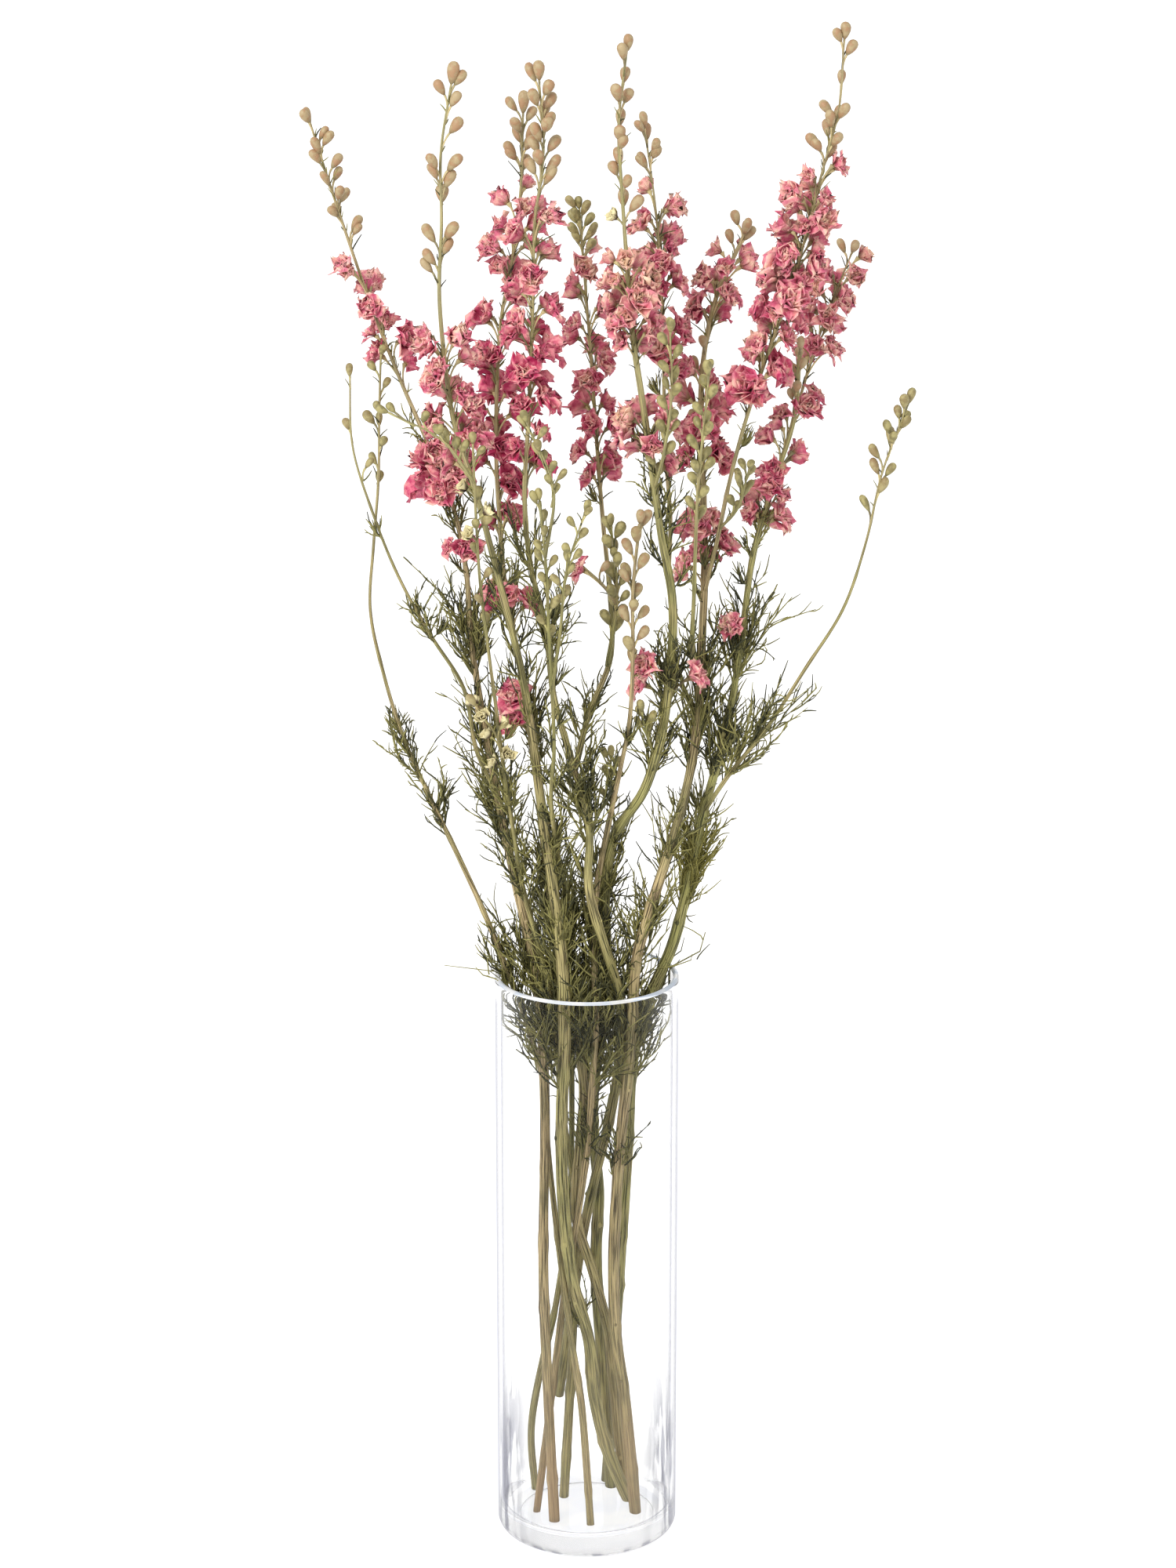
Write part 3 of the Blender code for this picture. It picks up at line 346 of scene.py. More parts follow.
def lay_strands():
    """The strands' points, with crossing stems bent clear of each other and kept inside the vase."""
    lines = {}
    for name, strand in STRANDS.items():
        points = [np.array(point, float) for point in strand.route]
        if strand.parent:
            points.insert(0, at_height(lines[strand.parent], strand.leaves_at)[0])
        lines[name] = curve_points(points, STATION)
    counts = [len(line) for line in lines.values()]
    starts = [sum(counts[:k]) for k in range(len(counts))]
    points = np.concatenate(list(lines.values()))
    routed = points.copy()
    radii = np.concatenate([radius_along(strand, count) for strand, count in zip(STRANDS.values(), counts)])
    owner = np.repeat([strand.node for strand in STRANDS.values()], counts)
    segments = np.array([k for k in range(len(points) - 1) if k + 1 not in starts])
    first, second = (segments[column] for column in np.triu_indices(len(segments), 1))
    apart = owner[first] != owner[second]
    first, second = first[apart], second[apart]
    for turn in range(ROUNDS):
        if turn % NEIGHBOUR_ROUNDS == 0:
            middles = (points[:-1] + points[1:]) / 2
            near = np.linalg.norm(middles[first] - middles[second], axis=1) < NEIGHBOUR_REACH
        push_apart(points, radii, first[near], second[near])
        drift = points - routed
        for start, count in zip(starts, counts):
            piece = drift[start:start + count]
            if turn < SMOOTH_ROUNDS:
                piece[1:-1] = piece[1:-1] * 0.8 + (piece[:-2] + piece[2:]) * 0.1
            piece[0, 2] = 0
        points = routed + drift
        keep_in_vase(points, segments, radii)
        for (name, strand), start, count in zip(STRANDS.items(), starts, counts):
            line = lines[name] = points[start:start + count]
            if strand.parent:
                shift = at_height(lines[strand.parent], strand.leaves_at)[0] - line[0]
                for k, share in enumerate(ROOT_SHARES[:count]):
                    line[k] += shift * share
    return lines


class Crowd:
    """What is placed so far, as capsules with their stem, so that stems keep clear of each other."""

    def __init__(self):
        self.starts, self.ends, self.radii, self.nodes, self.heads = [], [], [], [], []

    def add(self, node, capsules, heads=False):
        for start, end, radius in capsules:
            self.starts.append(start)
            self.ends.append(end)
            self.radii.append(radius)
            self.nodes.append(node)
            self.heads.append(heads)
        self.arrays = (np.array(self.starts), np.array(self.ends), np.array(self.radii))
        self.owners = np.array(self.nodes)
        self.are_heads = np.array(self.heads)

    def least(self, chosen, start, end, radius):
        """The least clearance of one capsule from the chosen ones."""
        starts, ends, radii = (column[chosen] for column in self.arrays)
        if not len(starts):
            return FAR
        shape = (len(starts), 1)
        between = nearest_on_segments(np.tile(start, shape), np.tile(end, shape), starts, ends)[2]
        return float((np.linalg.norm(between, axis=1) - radii).min()) - radius

    def room(self, node, capsules):
        """The least clearance that the capsules have from the other stems and from the vase."""
        other = self.owners != node
        least = min(self.least(other, *capsule) for capsule in capsules)
        for start, end, radius in capsules:
            for point in (start, end, (start + end) / 2):
                if point[2] < VASE_HEIGHT + radius + 1:
                    least = min(least, INSIDE_RADIUS - math.hypot(point[0], point[1]) - radius)
        return least

    def roomiest(self, node, choices):
        """What is kept of the choice that reaches least into its own stem's heads, clear of other stems.

        Each choice is its capsules, the one that stands for its head, its cost, and what is kept of it."""
        best = None
        own_heads = (self.owners == node) & self.are_heads
        for capsules, head, cost, kept in choices:
            if self.room(node, capsules) < GAP:
                continue
            score = min(0.0, self.least(own_heads, *head)) - cost
            if best is None or score > best[0]:
                best = (score, kept)
        return best and best[1]


def outward(azimuth, lift):
    """A unit direction at an azimuth from +X, raised by a slope."""
    angle = math.radians(azimuth)
    direction = np.array([math.cos(angle), math.sin(angle), lift])
    return direction / np.linalg.norm(direction)


def bloom_choices(root, azimuth, lift, reach, radius):
    """A bloom of one size at its wanted azimuth, and turned further and further from it."""
    for turn in BLOOM_TURNS:
        facing = outward(azimuth + turn, lift)
        base = root + facing * reach * 0.62
        stalk = (root, base, BLOOM_STALK_RADIUS)
        head = (base + facing * radius * 0.25, base + facing * radius * 0.5, radius * 1.02)
        yield [stalk, head], head, abs(turn) * 0.03, (stalk, head, base, facing, radius)


def place_blooms(lines, crowd, draw):
    """Each bloom's stem, strand, age, middle of its base, facing direction and radius."""
    blooms = []
    for strand, low, high, count, size, reach, first in BLOOM_ROWS:
        node = STRANDS[strand].node
        for k in range(count):
            step = (high - low) / count
            height = low + step * (k + 0.5) + draw.uniform(-0.25, 0.25) * step
            root = at_height(lines[strand], height - reach * 0.5)[0]
            azimuth = first + GOLDEN_ANGLE * k + draw.uniform(-12, 12)
            lift = draw.uniform(0.35, 0.7)
            wanted = BLOOM_RADIUS * size * draw.uniform(0.92, 1.1)
            for scale in BLOOM_SCALES:
                best = crowd.roomiest(node, bloom_choices(root, azimuth, lift, reach, wanted * scale))
                if best:
                    break
            if best:
                stalk, head, base, facing, radius = best
                crowd.add(node, [stalk])
                crowd.add(node, [head], heads=True)
                age = k / (count - 1) if count > 4 else 0.15
                blooms.append((node, strand, age, base, facing, radius))
    return blooms


def bud_choices(line, height, azimuth, stalk, length, radius, terminal):
    """A bud at its wanted azimuth, and turned from it. A terminal one goes on from its strand's tip."""
    root, along = at_height(line, height)
    for turn in BUD_TURNS:
        if terminal:
            root, direction = line[-1], along + outward(azimuth + turn, 0) * abs(turn) / 200
            direction = direction / np.linalg.norm(direction)
            base = root + direction * 0.6
        else:
            direction = outward(azimuth + turn, 1.3)
            base = root + direction * stalk
        stem = (root, base, BUD_STALK_RADIUS)
        head = (base + direction * radius, base + direction * length * 0.75, radius)
        yield [stem, head], head, abs(turn) * 0.01, (stem, head, base, direction)


def place_buds(lines, crowd, draw):
    """Each bud's stem, strand, base, direction, length and radius. A row's last bud may end its strand."""
    buds = []
    for strand, low, high, count, size, stalk, first in BUD_ROWS:
        node = STRANDS[strand].node
        line = lines[strand]
        for k in range(count):
            height = low + (high - low) * (k + 0.5) / count
            length = BUD_LENGTH * size * draw.uniform(0.88, 1.1)
            radius = BUD_RADIUS * size
            azimuth = first + GOLDEN_ANGLE * k + draw.uniform(-15, 15)
            terminal = k == count - 1 and high > line[-1, 2] - 4
            best = crowd.roomiest(node, bud_choices(line, height, azimuth, stalk, length, radius, terminal))
            if best:
                stem, head, base, direction = best
                crowd.add(node, [stem])
                crowd.add(node, [head], heads=True)
                buds.append((node, strand, base, direction, length, radius))
    return buds


def leaf_choices(root, azimuth, length, draw):
    """A leaf's stalk at its wanted azimuth, and turned from it, each with a slope of its own."""
    for turn in LEAF_TURNS:
        rachis = outward(azimuth + turn, draw.uniform(0.7, 1.4))
        fork = root + rachis * length * 0.4
        stalk = (root, fork, FORK_RADIUS)
        feathers = (fork, fork + rachis * length * 0.3, 5.0)
        yield [stalk], feathers, abs(turn) * 0.01, (stalk, rachis, fork)


def place_leaves(lines, crowd, draw):
    """Each feathery leaf's stem, root, the fork where its threads part, and their tips in turn round it."""
    leaves = []
    for strand, low, high, count, length in LEAF_ROWS:
        node = STRANDS[strand].node
        for k in range(count):
            height = low + (high - low) * (k + 0.5) / count + draw.uniform(-6, 6)
            root = at_height(lines[strand], height)[0]
            azimuth = GOLDEN_ANGLE * k + draw.uniform(0, 60)
            best = crowd.roomiest(node, leaf_choices(root, azimuth, length, draw))
            if best is None:
                continue
            stalk, rachis, fork = best
            crowd.add(node, [stalk])
            axes = np.array(frame_of(rachis))
            tips = []
            for side in range(THREADS):
                angle = 2 * math.pi * (side + 0.5) / THREADS
                for reach in THREAD_REACHES:
                    spread = draw.uniform(0.15, 0.95)
                    aside = math.sin(spread)
                    away = axes @ np.array([
                        math.cos(angle) * aside, math.sin(angle) * aside, math.cos(spread)])
                    tip = fork + away * length * reach * draw.uniform(0.55, 0.85)
                    if crowd.room(node, [(fork, tip, THREAD_RADIUS)]) > GAP:
                        break
                crowd.add(node, [(fork, tip, THREAD_RADIUS)])
                tips.append(tip)
            leaves.append((node, root, fork, tips))
    return leaves


def frame_of(direction):
    """A rotation whose Z axis is the direction."""
    return Vector(direction).normalized().to_track_quat("Z", "X").to_matrix()


# What the construction model has too few of, in rows like those above: more blooms
MORE_BLOOM_ROWS = [
    ("a", 650, 712, 5, 0.72, 8, 40), ("a", 582, 612, 5, 1.0, 9, 100), ("a", 556, 566, 1, 0.7, 8, 200),
    ("b", 614, 690, 9, 0.74, 12, 150), ("b", 672, 682, 1, 0.8, 9, 200), ("c", 606, 752, 17, 0.78, 8, 60),
    ("c_back", 584, 712, 13, 0.78, 7, 200), ("d", 590, 752, 17, 0.8, 8, 20),
    ("d", 566, 582, 2, 0.8, 9, 160), ("d", 524, 542, 2, 0.95, 9, 120), ("d", 480, 484, 1, 1.2, 15, 222),
    ("e", 674, 724, 13, 0.72, 9, 60), ("e", 612, 642, 5, 0.9, 10, 0), ("e", 506, 512, 1, 1.25, 16, 228),
    ("e_back", 688, 748, 9, 0.7, 7, 120), ("e_back", 652, 680, 4, 1.0, 7, 300),
    ("f", 672, 714, 7, 0.8, 9, 60), ("f", 600, 652, 9, 0.95, 9, 200), ("f", 545, 582, 5, 0.75, 10, 100),
    ("f_right", 668, 768, 18, 0.82, 8, 200), ("f_right", 640, 674, 5, 1.0, 9, 60),
    ("g_right", 652, 712, 8, 0.78, 9, 120), ("g_right", 622, 640, 2, 0.75, 9, 200),
    ("g", 566, 626, 7, 0.78, 9, 60), ("g", 516, 522, 1, 0.7, 11, 250),
]

# More buds, with the turn from each to the next
MORE_BUD_ROWS = [
    ("a", 716, 781, 8, 0.95, 3.5, 20, 180), ("b", 792, 808, 3, 1.05, 4, 0, 180),
    ("b", 750, 764, 3, 1.1, 4, 0, 180), ("b", 712, 732, 4, 1.15, 4, 180, 180),
    ("c", 748, 806, 10, 1.1, 4, 0, 137), ("d", 752, 786, 7, 1.05, 4, 60, 137),
    ("c_back", 702, 728, 8, 0.95, 3, 0, 180), ("e", 736, 821, 8, 1.05, 4, 90, 180),
    ("e_back", 750, 778, 4, 0.95, 4, 200, 137), ("f", 706, 718, 3, 1.0, 6, 120, 180),
    ("f_right", 762, 790, 7, 1.0, 4, 60, 137), ("f_right", 814, 828, 2, 1.0, 3, 0, 180),
    ("g", 630, 662, 6, 0.85, 4, 100, 180), ("g_right", 704, 709, 2, 0.85, 4, 150, 137),
    ("g_far_right", 618, 645, 6, 0.95, 4, 80, 137), ("g_far_right", 580, 610, 3, 0.95, 3, 180, 180),
    ("h", 585, 664, 8, 0.82, 3, 60, 137), ("i", 520, 600, 10, 0.8, 4, 60, 137),
    ("i_left", 600, 642, 7, 0.8, 3, 60, 137), ("i_right", 545, 597, 8, 0.8, 3, 60, 137),
    ("j_left", 618, 646, 5, 0.8, 3, 0, 137), ("j", 520, 627, 8, 0.8, 4, 90, 137),
    ("k", 500, 585, 11, 1.05, 4, 100, 137), ("c_front", 505, 571, 12, 1.1, 3, 60, 137),
    ("e_front", 600, 686, 13, 0.95, 3, 60, 137), ("f_front", 580, 665, 13, 0.95, 3, 60, 137),
    ("f_small", 578, 608, 7, 0.8, 3, 60, 137), ("e_low", 414, 441, 7, 0.8, 3, 60, 137),
    ("e_low_front", 462, 480, 5, 0.8, 3, 60, 137), ("g", 560, 600, 3, 0.85, 6, 20, 137),
    ("f", 600, 660, 5, 0.85, 6, 60, 137),
]

# Spent flowers: open cream cups with a dark centre, by strand, height and azimuth
CUPS = [
    ("j", 602, 185), ("j", 588, 10), ("j", 577, 220), ("j_low", 465, 190), ("j_low", 471, 10),
    ("j_low", 477, 250), ("j_low", 483, 120), ("j", 453, 300), ("j", 447, 190), ("e", 737, 195),
]

# Plumes of thread leaves, by strand, lowest and highest root, how many, and their length
PLUME_ROWS = [
    ("a", 598, 608, 3, 17), ("a", 558, 574, 5, 20), ("c", 540, 556, 4, 20), ("a_left", 510, 524, 4, 17),
    ("a", 482, 508, 13, 24), ("a", 430, 454, 10, 24), ("c", 494, 512, 8, 24), ("d", 440, 462, 8, 24),
    ("j", 410, 430, 5, 20), ("a", 400, 422, 7, 22), ("h", 426, 448, 6, 19), ("h", 398, 414, 5, 18),
    ("c", 400, 428, 16, 27), ("e", 470, 490, 9, 22), ("f", 462, 488, 10, 24), ("g", 480, 502, 11, 25),
    ("e", 430, 452, 8, 24), ("g", 422, 448, 12, 26), ("g_far_right", 430, 462, 8, 28),
    ("f", 434, 456, 8, 24), ("c_back", 450, 468, 5, 20), ("a", 380, 402, 7, 24), ("j", 360, 380, 6, 22),
    ("d", 358, 380, 8, 24), ("b", 370, 394, 8, 24), ("g", 350, 388, 18, 27), ("f", 372, 396, 5, 22),
    ("e", 352, 376, 9, 24), ("f", 328, 350, 9, 24), ("d", 322, 348, 11, 27), ("i", 320, 346, 11, 26),
    ("k", 320, 344, 10, 26), ("b", 320, 346, 9, 26), ("a", 302, 330, 11, 26), ("h", 302, 326, 8, 24),
    ("a", 266, 300, 15, 28), ("j", 266, 304, 14, 28), ("b", 260, 302, 13, 28), ("d", 260, 312, 14, 28),
    ("i", 260, 312, 14, 28), ("c", 268, 320, 12, 28), ("k", 260, 302, 11, 28), ("e", 244, 300, 14, 28),
    ("f", 250, 298, 11, 28), ("g", 250, 292, 12, 26), ("e", 234, 250, 4, 20), ("k", 212, 232, 5, 20),
    ("f", 202, 218, 4, 18), ("b", 112, 122, 3, 12), ("f", 520, 560, 4, 18), ("e", 550, 610, 9, 17),
    ("g", 545, 575, 4, 15), ("k", 400, 470, 3, 16), ("i", 380, 470, 4, 16), ("d", 490, 540, 7, 20),
    ("b", 420, 560, 5, 16),
]

# Between these heights, at the mouth of the vase, plumes lean out further, by this factor
MOUTH = (240, 318)
MOUTH_LEAN = 1.8

# Within this angle of the side that faces the viewer a stalk stays bare, in degrees
BARE_FRONT = 48

# How pale each strand's blooms have dried, from 0, deep rose, to 1, cream
PALENESS = {
    "a": 0.35, "b": 0.42, "c": 0.24, "c_back": 0.44, "c_front_left": 0.6, "d": 0.2, "e": 0.68,
    "e_back": 0.38, "f": 0.5, "f_right": 0.4, "g": 0.55, "g_right": 0.55,
}

# What is added to that with height: deepest low in the spikes, paler at their tops and on lone low blooms
FADING_HEIGHTS = (480, 560, 600, 760)
FADING = (0.22, 0.06, -0.18, 0.24)
PALEST = 1.0

# The value that stands for an open cream cup in place of a paleness
CREAM = 2.0

# How green each strand's buds and stalks have stayed, from 0, tan, to 1
GREENNESS = {
    "a_left": 0.6, "c_back": 0.6, "c_front": 0.9, "e_front": 0.8, "e_low": 0.9, "e_low_front": 0.9,
    "f_front": 0.85, "f_small": 0.8, "g_far_right": 0.55, "h": 0.7, "i": 0.7, "i_left": 0.75, "i_right": 0.7,
    "j": 0.65, "j_left": 0.75, "j_low": 0.5, "k": 0.3,
}

# The same for the main stalks' lower parts
STALK_GREENNESS = {
    "a": 0.0, "b": 0.6, "c": 0.6, "d": 0.35, "e": 0.8, "f": 0.22, "g": 0.9, "h": 0.35, "i": 0.8, "k": 0.0,
}

# How a stalk thins with height: its radius against that at the foot
TAPER_HEIGHTS = (0, 340, 400, 460, 610, 690, 810)
TAPER_SHARES = (0.96, 0.88, 0.74, 0.58, 0.38, 0.29, 0.15)
FORK_RADIUS_AT_FOOT = 2.7
THINNEST_STALK = 0.45
BRANCH_TIP_SHARE = 0.35

# Stalks that stay stout further up, and thin ones with stout feet, as a factor at TAPER_HEIGHTS and
# FOOT_HEIGHTS
STOUT_STALKS = {
    "e": (1, 1, 1.05, 1.25, 1.4, 1.3, 1.1), "f": (1, 1, 1.05, 1.2, 1.3, 1.2, 1),
    "b": (1, 1, 1, 1.05, 1, 1, 1),
}
FOOT_HEIGHTS = (0, 100, 170)
STOUT_FEET = {
    "h": (1.3, 1.2, 1.0), "i": (1.35, 1.25, 1.0), "j": (1.75, 1.5, 1.0), "k": (1.1, 1.05, 1.0),
}

# Stalks: distance between rings, sides of a thick stalk, a branch, a flower stalk and a thread, and the
# root radius above which a stalk counts as thick
RING_STEP = 5.0
STALK_SIDES = 18
BRANCH_SIDES = 10
FLOWER_STALK_SIDES = 5
THREAD_SIDES = 3
STOUT_ROOT = 2.5

# A flower stalk's radius at its rings, the last of which widens to its flower
FLOWER_STALK_RADII = (0.55, 0.5, 0.48, 0.48, 0.52, 0.65, 1.0)

# Where leaves sat on a stalk, before a small shift of each, and the height above which they left no scar
KNOT_HEIGHTS = range(40, 640, 46)
HIGHEST_SCAR = 420

# How far the swelling at a knot reaches up and down
KNOT_REACH = 2.6

# How far threads stay above the rim and off the glass
THREADS_ABOVE_RIM = 2
THREADS_OFF_GLASS = 0.8

# Where a plume's side stems leave its rachis, and the threads its side stems, as shares of their length
SIDE_STEMS_AT = (0.02, 0.14, 0.27, 0.4, 0.55, 0.72, 0.92)
PLUME_THREADS_AT = (0.35, 0.62, 0.9)

# A thread's radius at shares of its length, against that at its root, and the radius of a bract
THREAD_TAPER = ((0, 0.6, 1), (1.0, 0.9, 0.5))
BRACT_RADIUS = 0.42

# Blooms below this radius have fewer petals
SMALL_BLOOM = 9.2

# Petals: their thickness, and the bend in degrees above which an edge in them stays sharp
PETAL_THICKNESS = 0.2
PETAL_CREASE = 32

# The height about which a stem's leaves are yellower, and how far that reaches up and down
YELLOW_TUFTS = {"stem_g": 385}
YELLOW_REACH = 28.0

# The photograph's view: lens in millimetres, place in metres, degrees looking down, and sideways shift
LENS = 95.4
CAMERA_PLACE = (0, -2.142, 1.038)
LOOKING_DOWN = 15.8
VIEW_SHIFT = 1.5 / 2000

# The lamp's place, the point it shines at, its width and its power
LAMP_PLACE = (-1.3, -1.9, 2.1)
LAMP_AIM = (0, 0, 0.45)
LAMP_SIZE = 1.6
LAMP_WATTS = 56.0

# The white round the bunch, and how often light may bounce on its way through the glass
WHITE = (1.0, 1.0, 1.0, 1.0)
SKY_STRENGTH = 1.02
FLOOR_GLOW = 0.82
FLOOR_SIZE = 30.0
GLASS_BOUNCES = 32
GLOSSY_BOUNCES = 24


def unit(vectors):
    """Vectors at length one."""
    return vectors / np.maximum(np.linalg.norm(vectors, axis=-1, keepdims=True), 1e-9)


def finished(bm, name):
    """The bmesh as a mesh."""
    mesh = bpy.data.meshes.new(name)
    bm.to_mesh(mesh)
    bm.free()
    return mesh


def rod(sides, rings):
    """A closed rod of radius one that stands from 0 to 1, cut into rings of faces."""
    bm = bmesh.new()
    bmesh.ops.create_cone(bm, cap_ends=True, segments=sides, radius1=1, radius2=1, depth=1,
                          matrix=Matrix.Translation((0, 0, 0.5)))
    upright = [edge for edge in bm.edges if abs(edge.verts[0].co.z - edge.verts[1].co.z) > 0.5]
    bmesh.ops.subdivide_edges(bm, edges=upright, cuts=rings - 2, use_grid_fill=True)
    return finished(bm, "rod")


def sheet(columns, rows):
    """A flat sheet from -1 to 1 both ways."""
    bm = bmesh.new()
    bmesh.ops.create_grid(bm, x_segments=columns, y_segments=rows, size=1)
    return finished(bm, "sheet")


def ball(around, up):
    """A ball of radius one."""
    bm = bmesh.new()
    bmesh.ops.create_uvsphere(bm, u_segments=around, v_segments=up, radius=1)
    return finished(bm, "ball")


def corners_of(mesh):
    return np.array([vertex.co for vertex in mesh.vertices])


def join_copies(name, parts, crease=None):
    """One mesh of copies: for each part a template, the copies' points and each point's three facts.

    Edges that bend by more than the crease angle stay sharp."""
    bm = bmesh.new()
    for template, points, facts in parts:
        for _ in range(len(points)):
            bm.from_mesh(template)
    mesh = finished(bm, name)
    places = np.concatenate([points.reshape(-1, 3) for template, points, facts in parts]) * MM
    surface = np.concatenate([facts.reshape(-1, 3) for template, points, facts in parts])
    mesh.vertices.foreach_set("co", places.astype(np.float32).ravel())
    attribute = mesh.attributes.new("surface", "FLOAT_VECTOR", "POINT")
    attribute.data.foreach_set("vector", surface.astype(np.float32).ravel())
    mesh.update()
    mesh.shade_smooth()
    if crease:
        mesh.set_sharp_from_angle(angle=math.radians(crease))
    return mesh


def bend(shape, paths, radii):
    """The points of unit rods bent along paths, with a radius at each point of the path."""
    ring = np.rint(shape[:, 2] * (paths.shape[1] - 1)).astype(int)
    along = unit(np.gradient(paths, axis=1))
    aside = np.eye(3)[np.abs(along.mean(axis=1)).argmin(axis=1)]
    side = unit(np.cross(aside[:, None], along))
    other = np.cross(along, side)
    offset = shape[None, :, 0, None] * side[:, ring] + shape[None, :, 1, None] * other[:, ring]
    return paths[:, ring] + offset * radii[:, ring, None]


def keep_off_glass(paths, roots):
    """Threads inside the vase stay off its wall, and those that hang outside stay above the rim."""
    above_rim = VASE_HEIGHT + THREADS_ABOVE_RIM
    below = paths[..., 2] < above_rim
    inside = INSIDE_RADIUS - THREADS_OFF_GLASS
    out = np.linalg.norm(paths[..., :2], axis=-1)
    rooted_above = np.broadcast_to((roots[:, 2] > VASE_HEIGHT + 1)[:, None], below.shape)
    hanging = below & rooted_above & (out > inside)
    paths[..., 2] = np.where(hanging, above_rim, paths[..., 2])
    squeezed = below & ~hanging & (out > inside)
    paths[..., :2] *= np.where(squeezed, inside / np.maximum(out, 1e-9), 1.0)[..., None]
    paths[..., 2] = np.maximum(paths[..., 2], VASE_FLOOR + 1)
    return paths


def arcs(starts, directions, lengths, bends, stations):
    """Paths that set off one way and bend another."""
    t = np.linspace(0, 1, stations)[None, :, None]
    return starts[:, None] + lengths[:, None, None] * (directions[:, None] * t + bends[:, None] * t ** 2)


def offshoots(threads, fractions, spread, shrink, rng):
    """Threads that leave the given ones at fractions of their length, and hook back to their direction."""
    starts, directions, lengths, bends = threads
    made = []
    for fraction in fractions:
        points = starts + lengths[:, None] * (directions * fraction + bends * fraction ** 2)
        ahead = unit(directions + 2 * fraction * bends)
        side = unit(np.cross(ahead, rng.normal(0, 1, ahead.shape)))
        turned = unit(ahead + side * spread * rng.uniform(0.6, 1.3, (len(ahead), 1)))
        curl = (ahead - turned) * 0.7 + rng.normal(0, 0.42, ahead.shape) + np.array([0, 0, 0.28])
        made.append((points, turned, lengths * shrink * rng.uniform(0.6, 1.3, len(lengths)), curl))
    return tuple(np.concatenate([part[k] for part in made]) for k in range(4))


def columns(rows):
    return tuple(np.array([row[k] for row in rows]) for k in range(4))


def leaf_threads(leaves, rng):
    """The threads of the construction model's leaves, drawn in closer, with their radii and rings."""
    stalks = []
    first = []
    for root, fork, tips in leaves:
        near_fork = root + (fork - root) * 0.35
        stalks.append((root, unit(fork - root), np.linalg.norm(near_fork - root), rng.normal(0, 0.05, 3)))
        for tip in tips:
            reach = (tip - fork) * 0.42 + np.array([0, 0, 4.0])
            curl = rng.normal(0, 0.2, 3) + np.array([0, 0, 0.45])
            length = np.linalg.norm(reach)
            first.append((near_fork, reach / length - curl, length, curl))
    first = columns(first)
    second = offshoots(first, (0.5,), 0.5, 0.5, rng)
    return [(columns(stalks), 0.7, 5), (first, 0.48, 5), (second, 0.44, 4)]


def plume_threads(plumes, rng):
    """The threads of plumes: a rachis along the stalk, its side stems and their hooked threads."""
    rachises = columns(plumes)
    side_stems = offshoots(rachises, SIDE_STEMS_AT, 0.5, 0.54, rng)
    threads = offshoots(side_stems, PLUME_THREADS_AT, 0.5, 0.5, rng)
    return [(rachises, 0.56, 5), (side_stems, 0.49, 5), (threads, 0.44, 4)]


def leaves_mesh(name, leaves, plumes, bracts, yellowing, rng):
    """The thread leaves of a stem and the bracts under its blooms and buds, yellower about one height."""
    parts = []
    groups = leaf_threads(leaves, rng) if leaves else []
    groups += plume_threads(plumes, rng) if plumes else []
    if bracts:
        groups.append((columns(bracts), BRACT_RADIUS, 4))
    for (starts, directions, lengths, bends), radius, rings in groups:
        template = rod(THREAD_SIDES, rings)
        shape = corners_of(template)
        paths = keep_off_glass(arcs(starts, directions, lengths, bends, rings), starts)
        taper = np.interp(np.linspace(0, 1, rings), *THREAD_TAPER)[None, :] * radius
        taper = taper * rng.uniform(0.8, 1.2, (len(starts), 1))
        points = bend(shape, paths, taper)
        each = rng.uniform(0, 1, (len(starts), 1))
        yellow = np.exp(-((points[..., 2] - yellowing) / YELLOW_REACH) ** 2)
        parts.append((template, points, facts_of(points, each, shape[None, :, 2], yellow)))
    return join_copies(name, parts)


def knots_along(line, radii, knots):
    """The radii with a slight swelling at each knot's height."""
    swell = np.zeros(len(line))
    for height, size in knots:
        swell += size * np.exp(-((line[:, 2] - height) / KNOT_REACH) ** 2)
    return radii * (1 + swell)


def stalk_radii(name, line):
    """A strand's radius at each point: stout in the vase, thin in the spike."""
    strand = STRANDS[name]
    share = np.interp(line[:, 2], TAPER_HEIGHTS, TAPER_SHARES)
    if name in STOUT_STALKS:
        share = share * np.interp(line[:, 2], TAPER_HEIGHTS, STOUT_STALKS[name])
    if name in STOUT_FEET:
        share = share * np.interp(line[:, 2], FOOT_HEIGHTS, STOUT_FEET[name])
    if strand.parent is None:
        return np.maximum(strand.root * share, THINNEST_STALK)
    start = min(strand.root, FORK_RADIUS_AT_FOOT * share[0])
    return np.maximum(start * np.linspace(1, BRANCH_TIP_SHARE, len(line)), THINNEST_STALK)


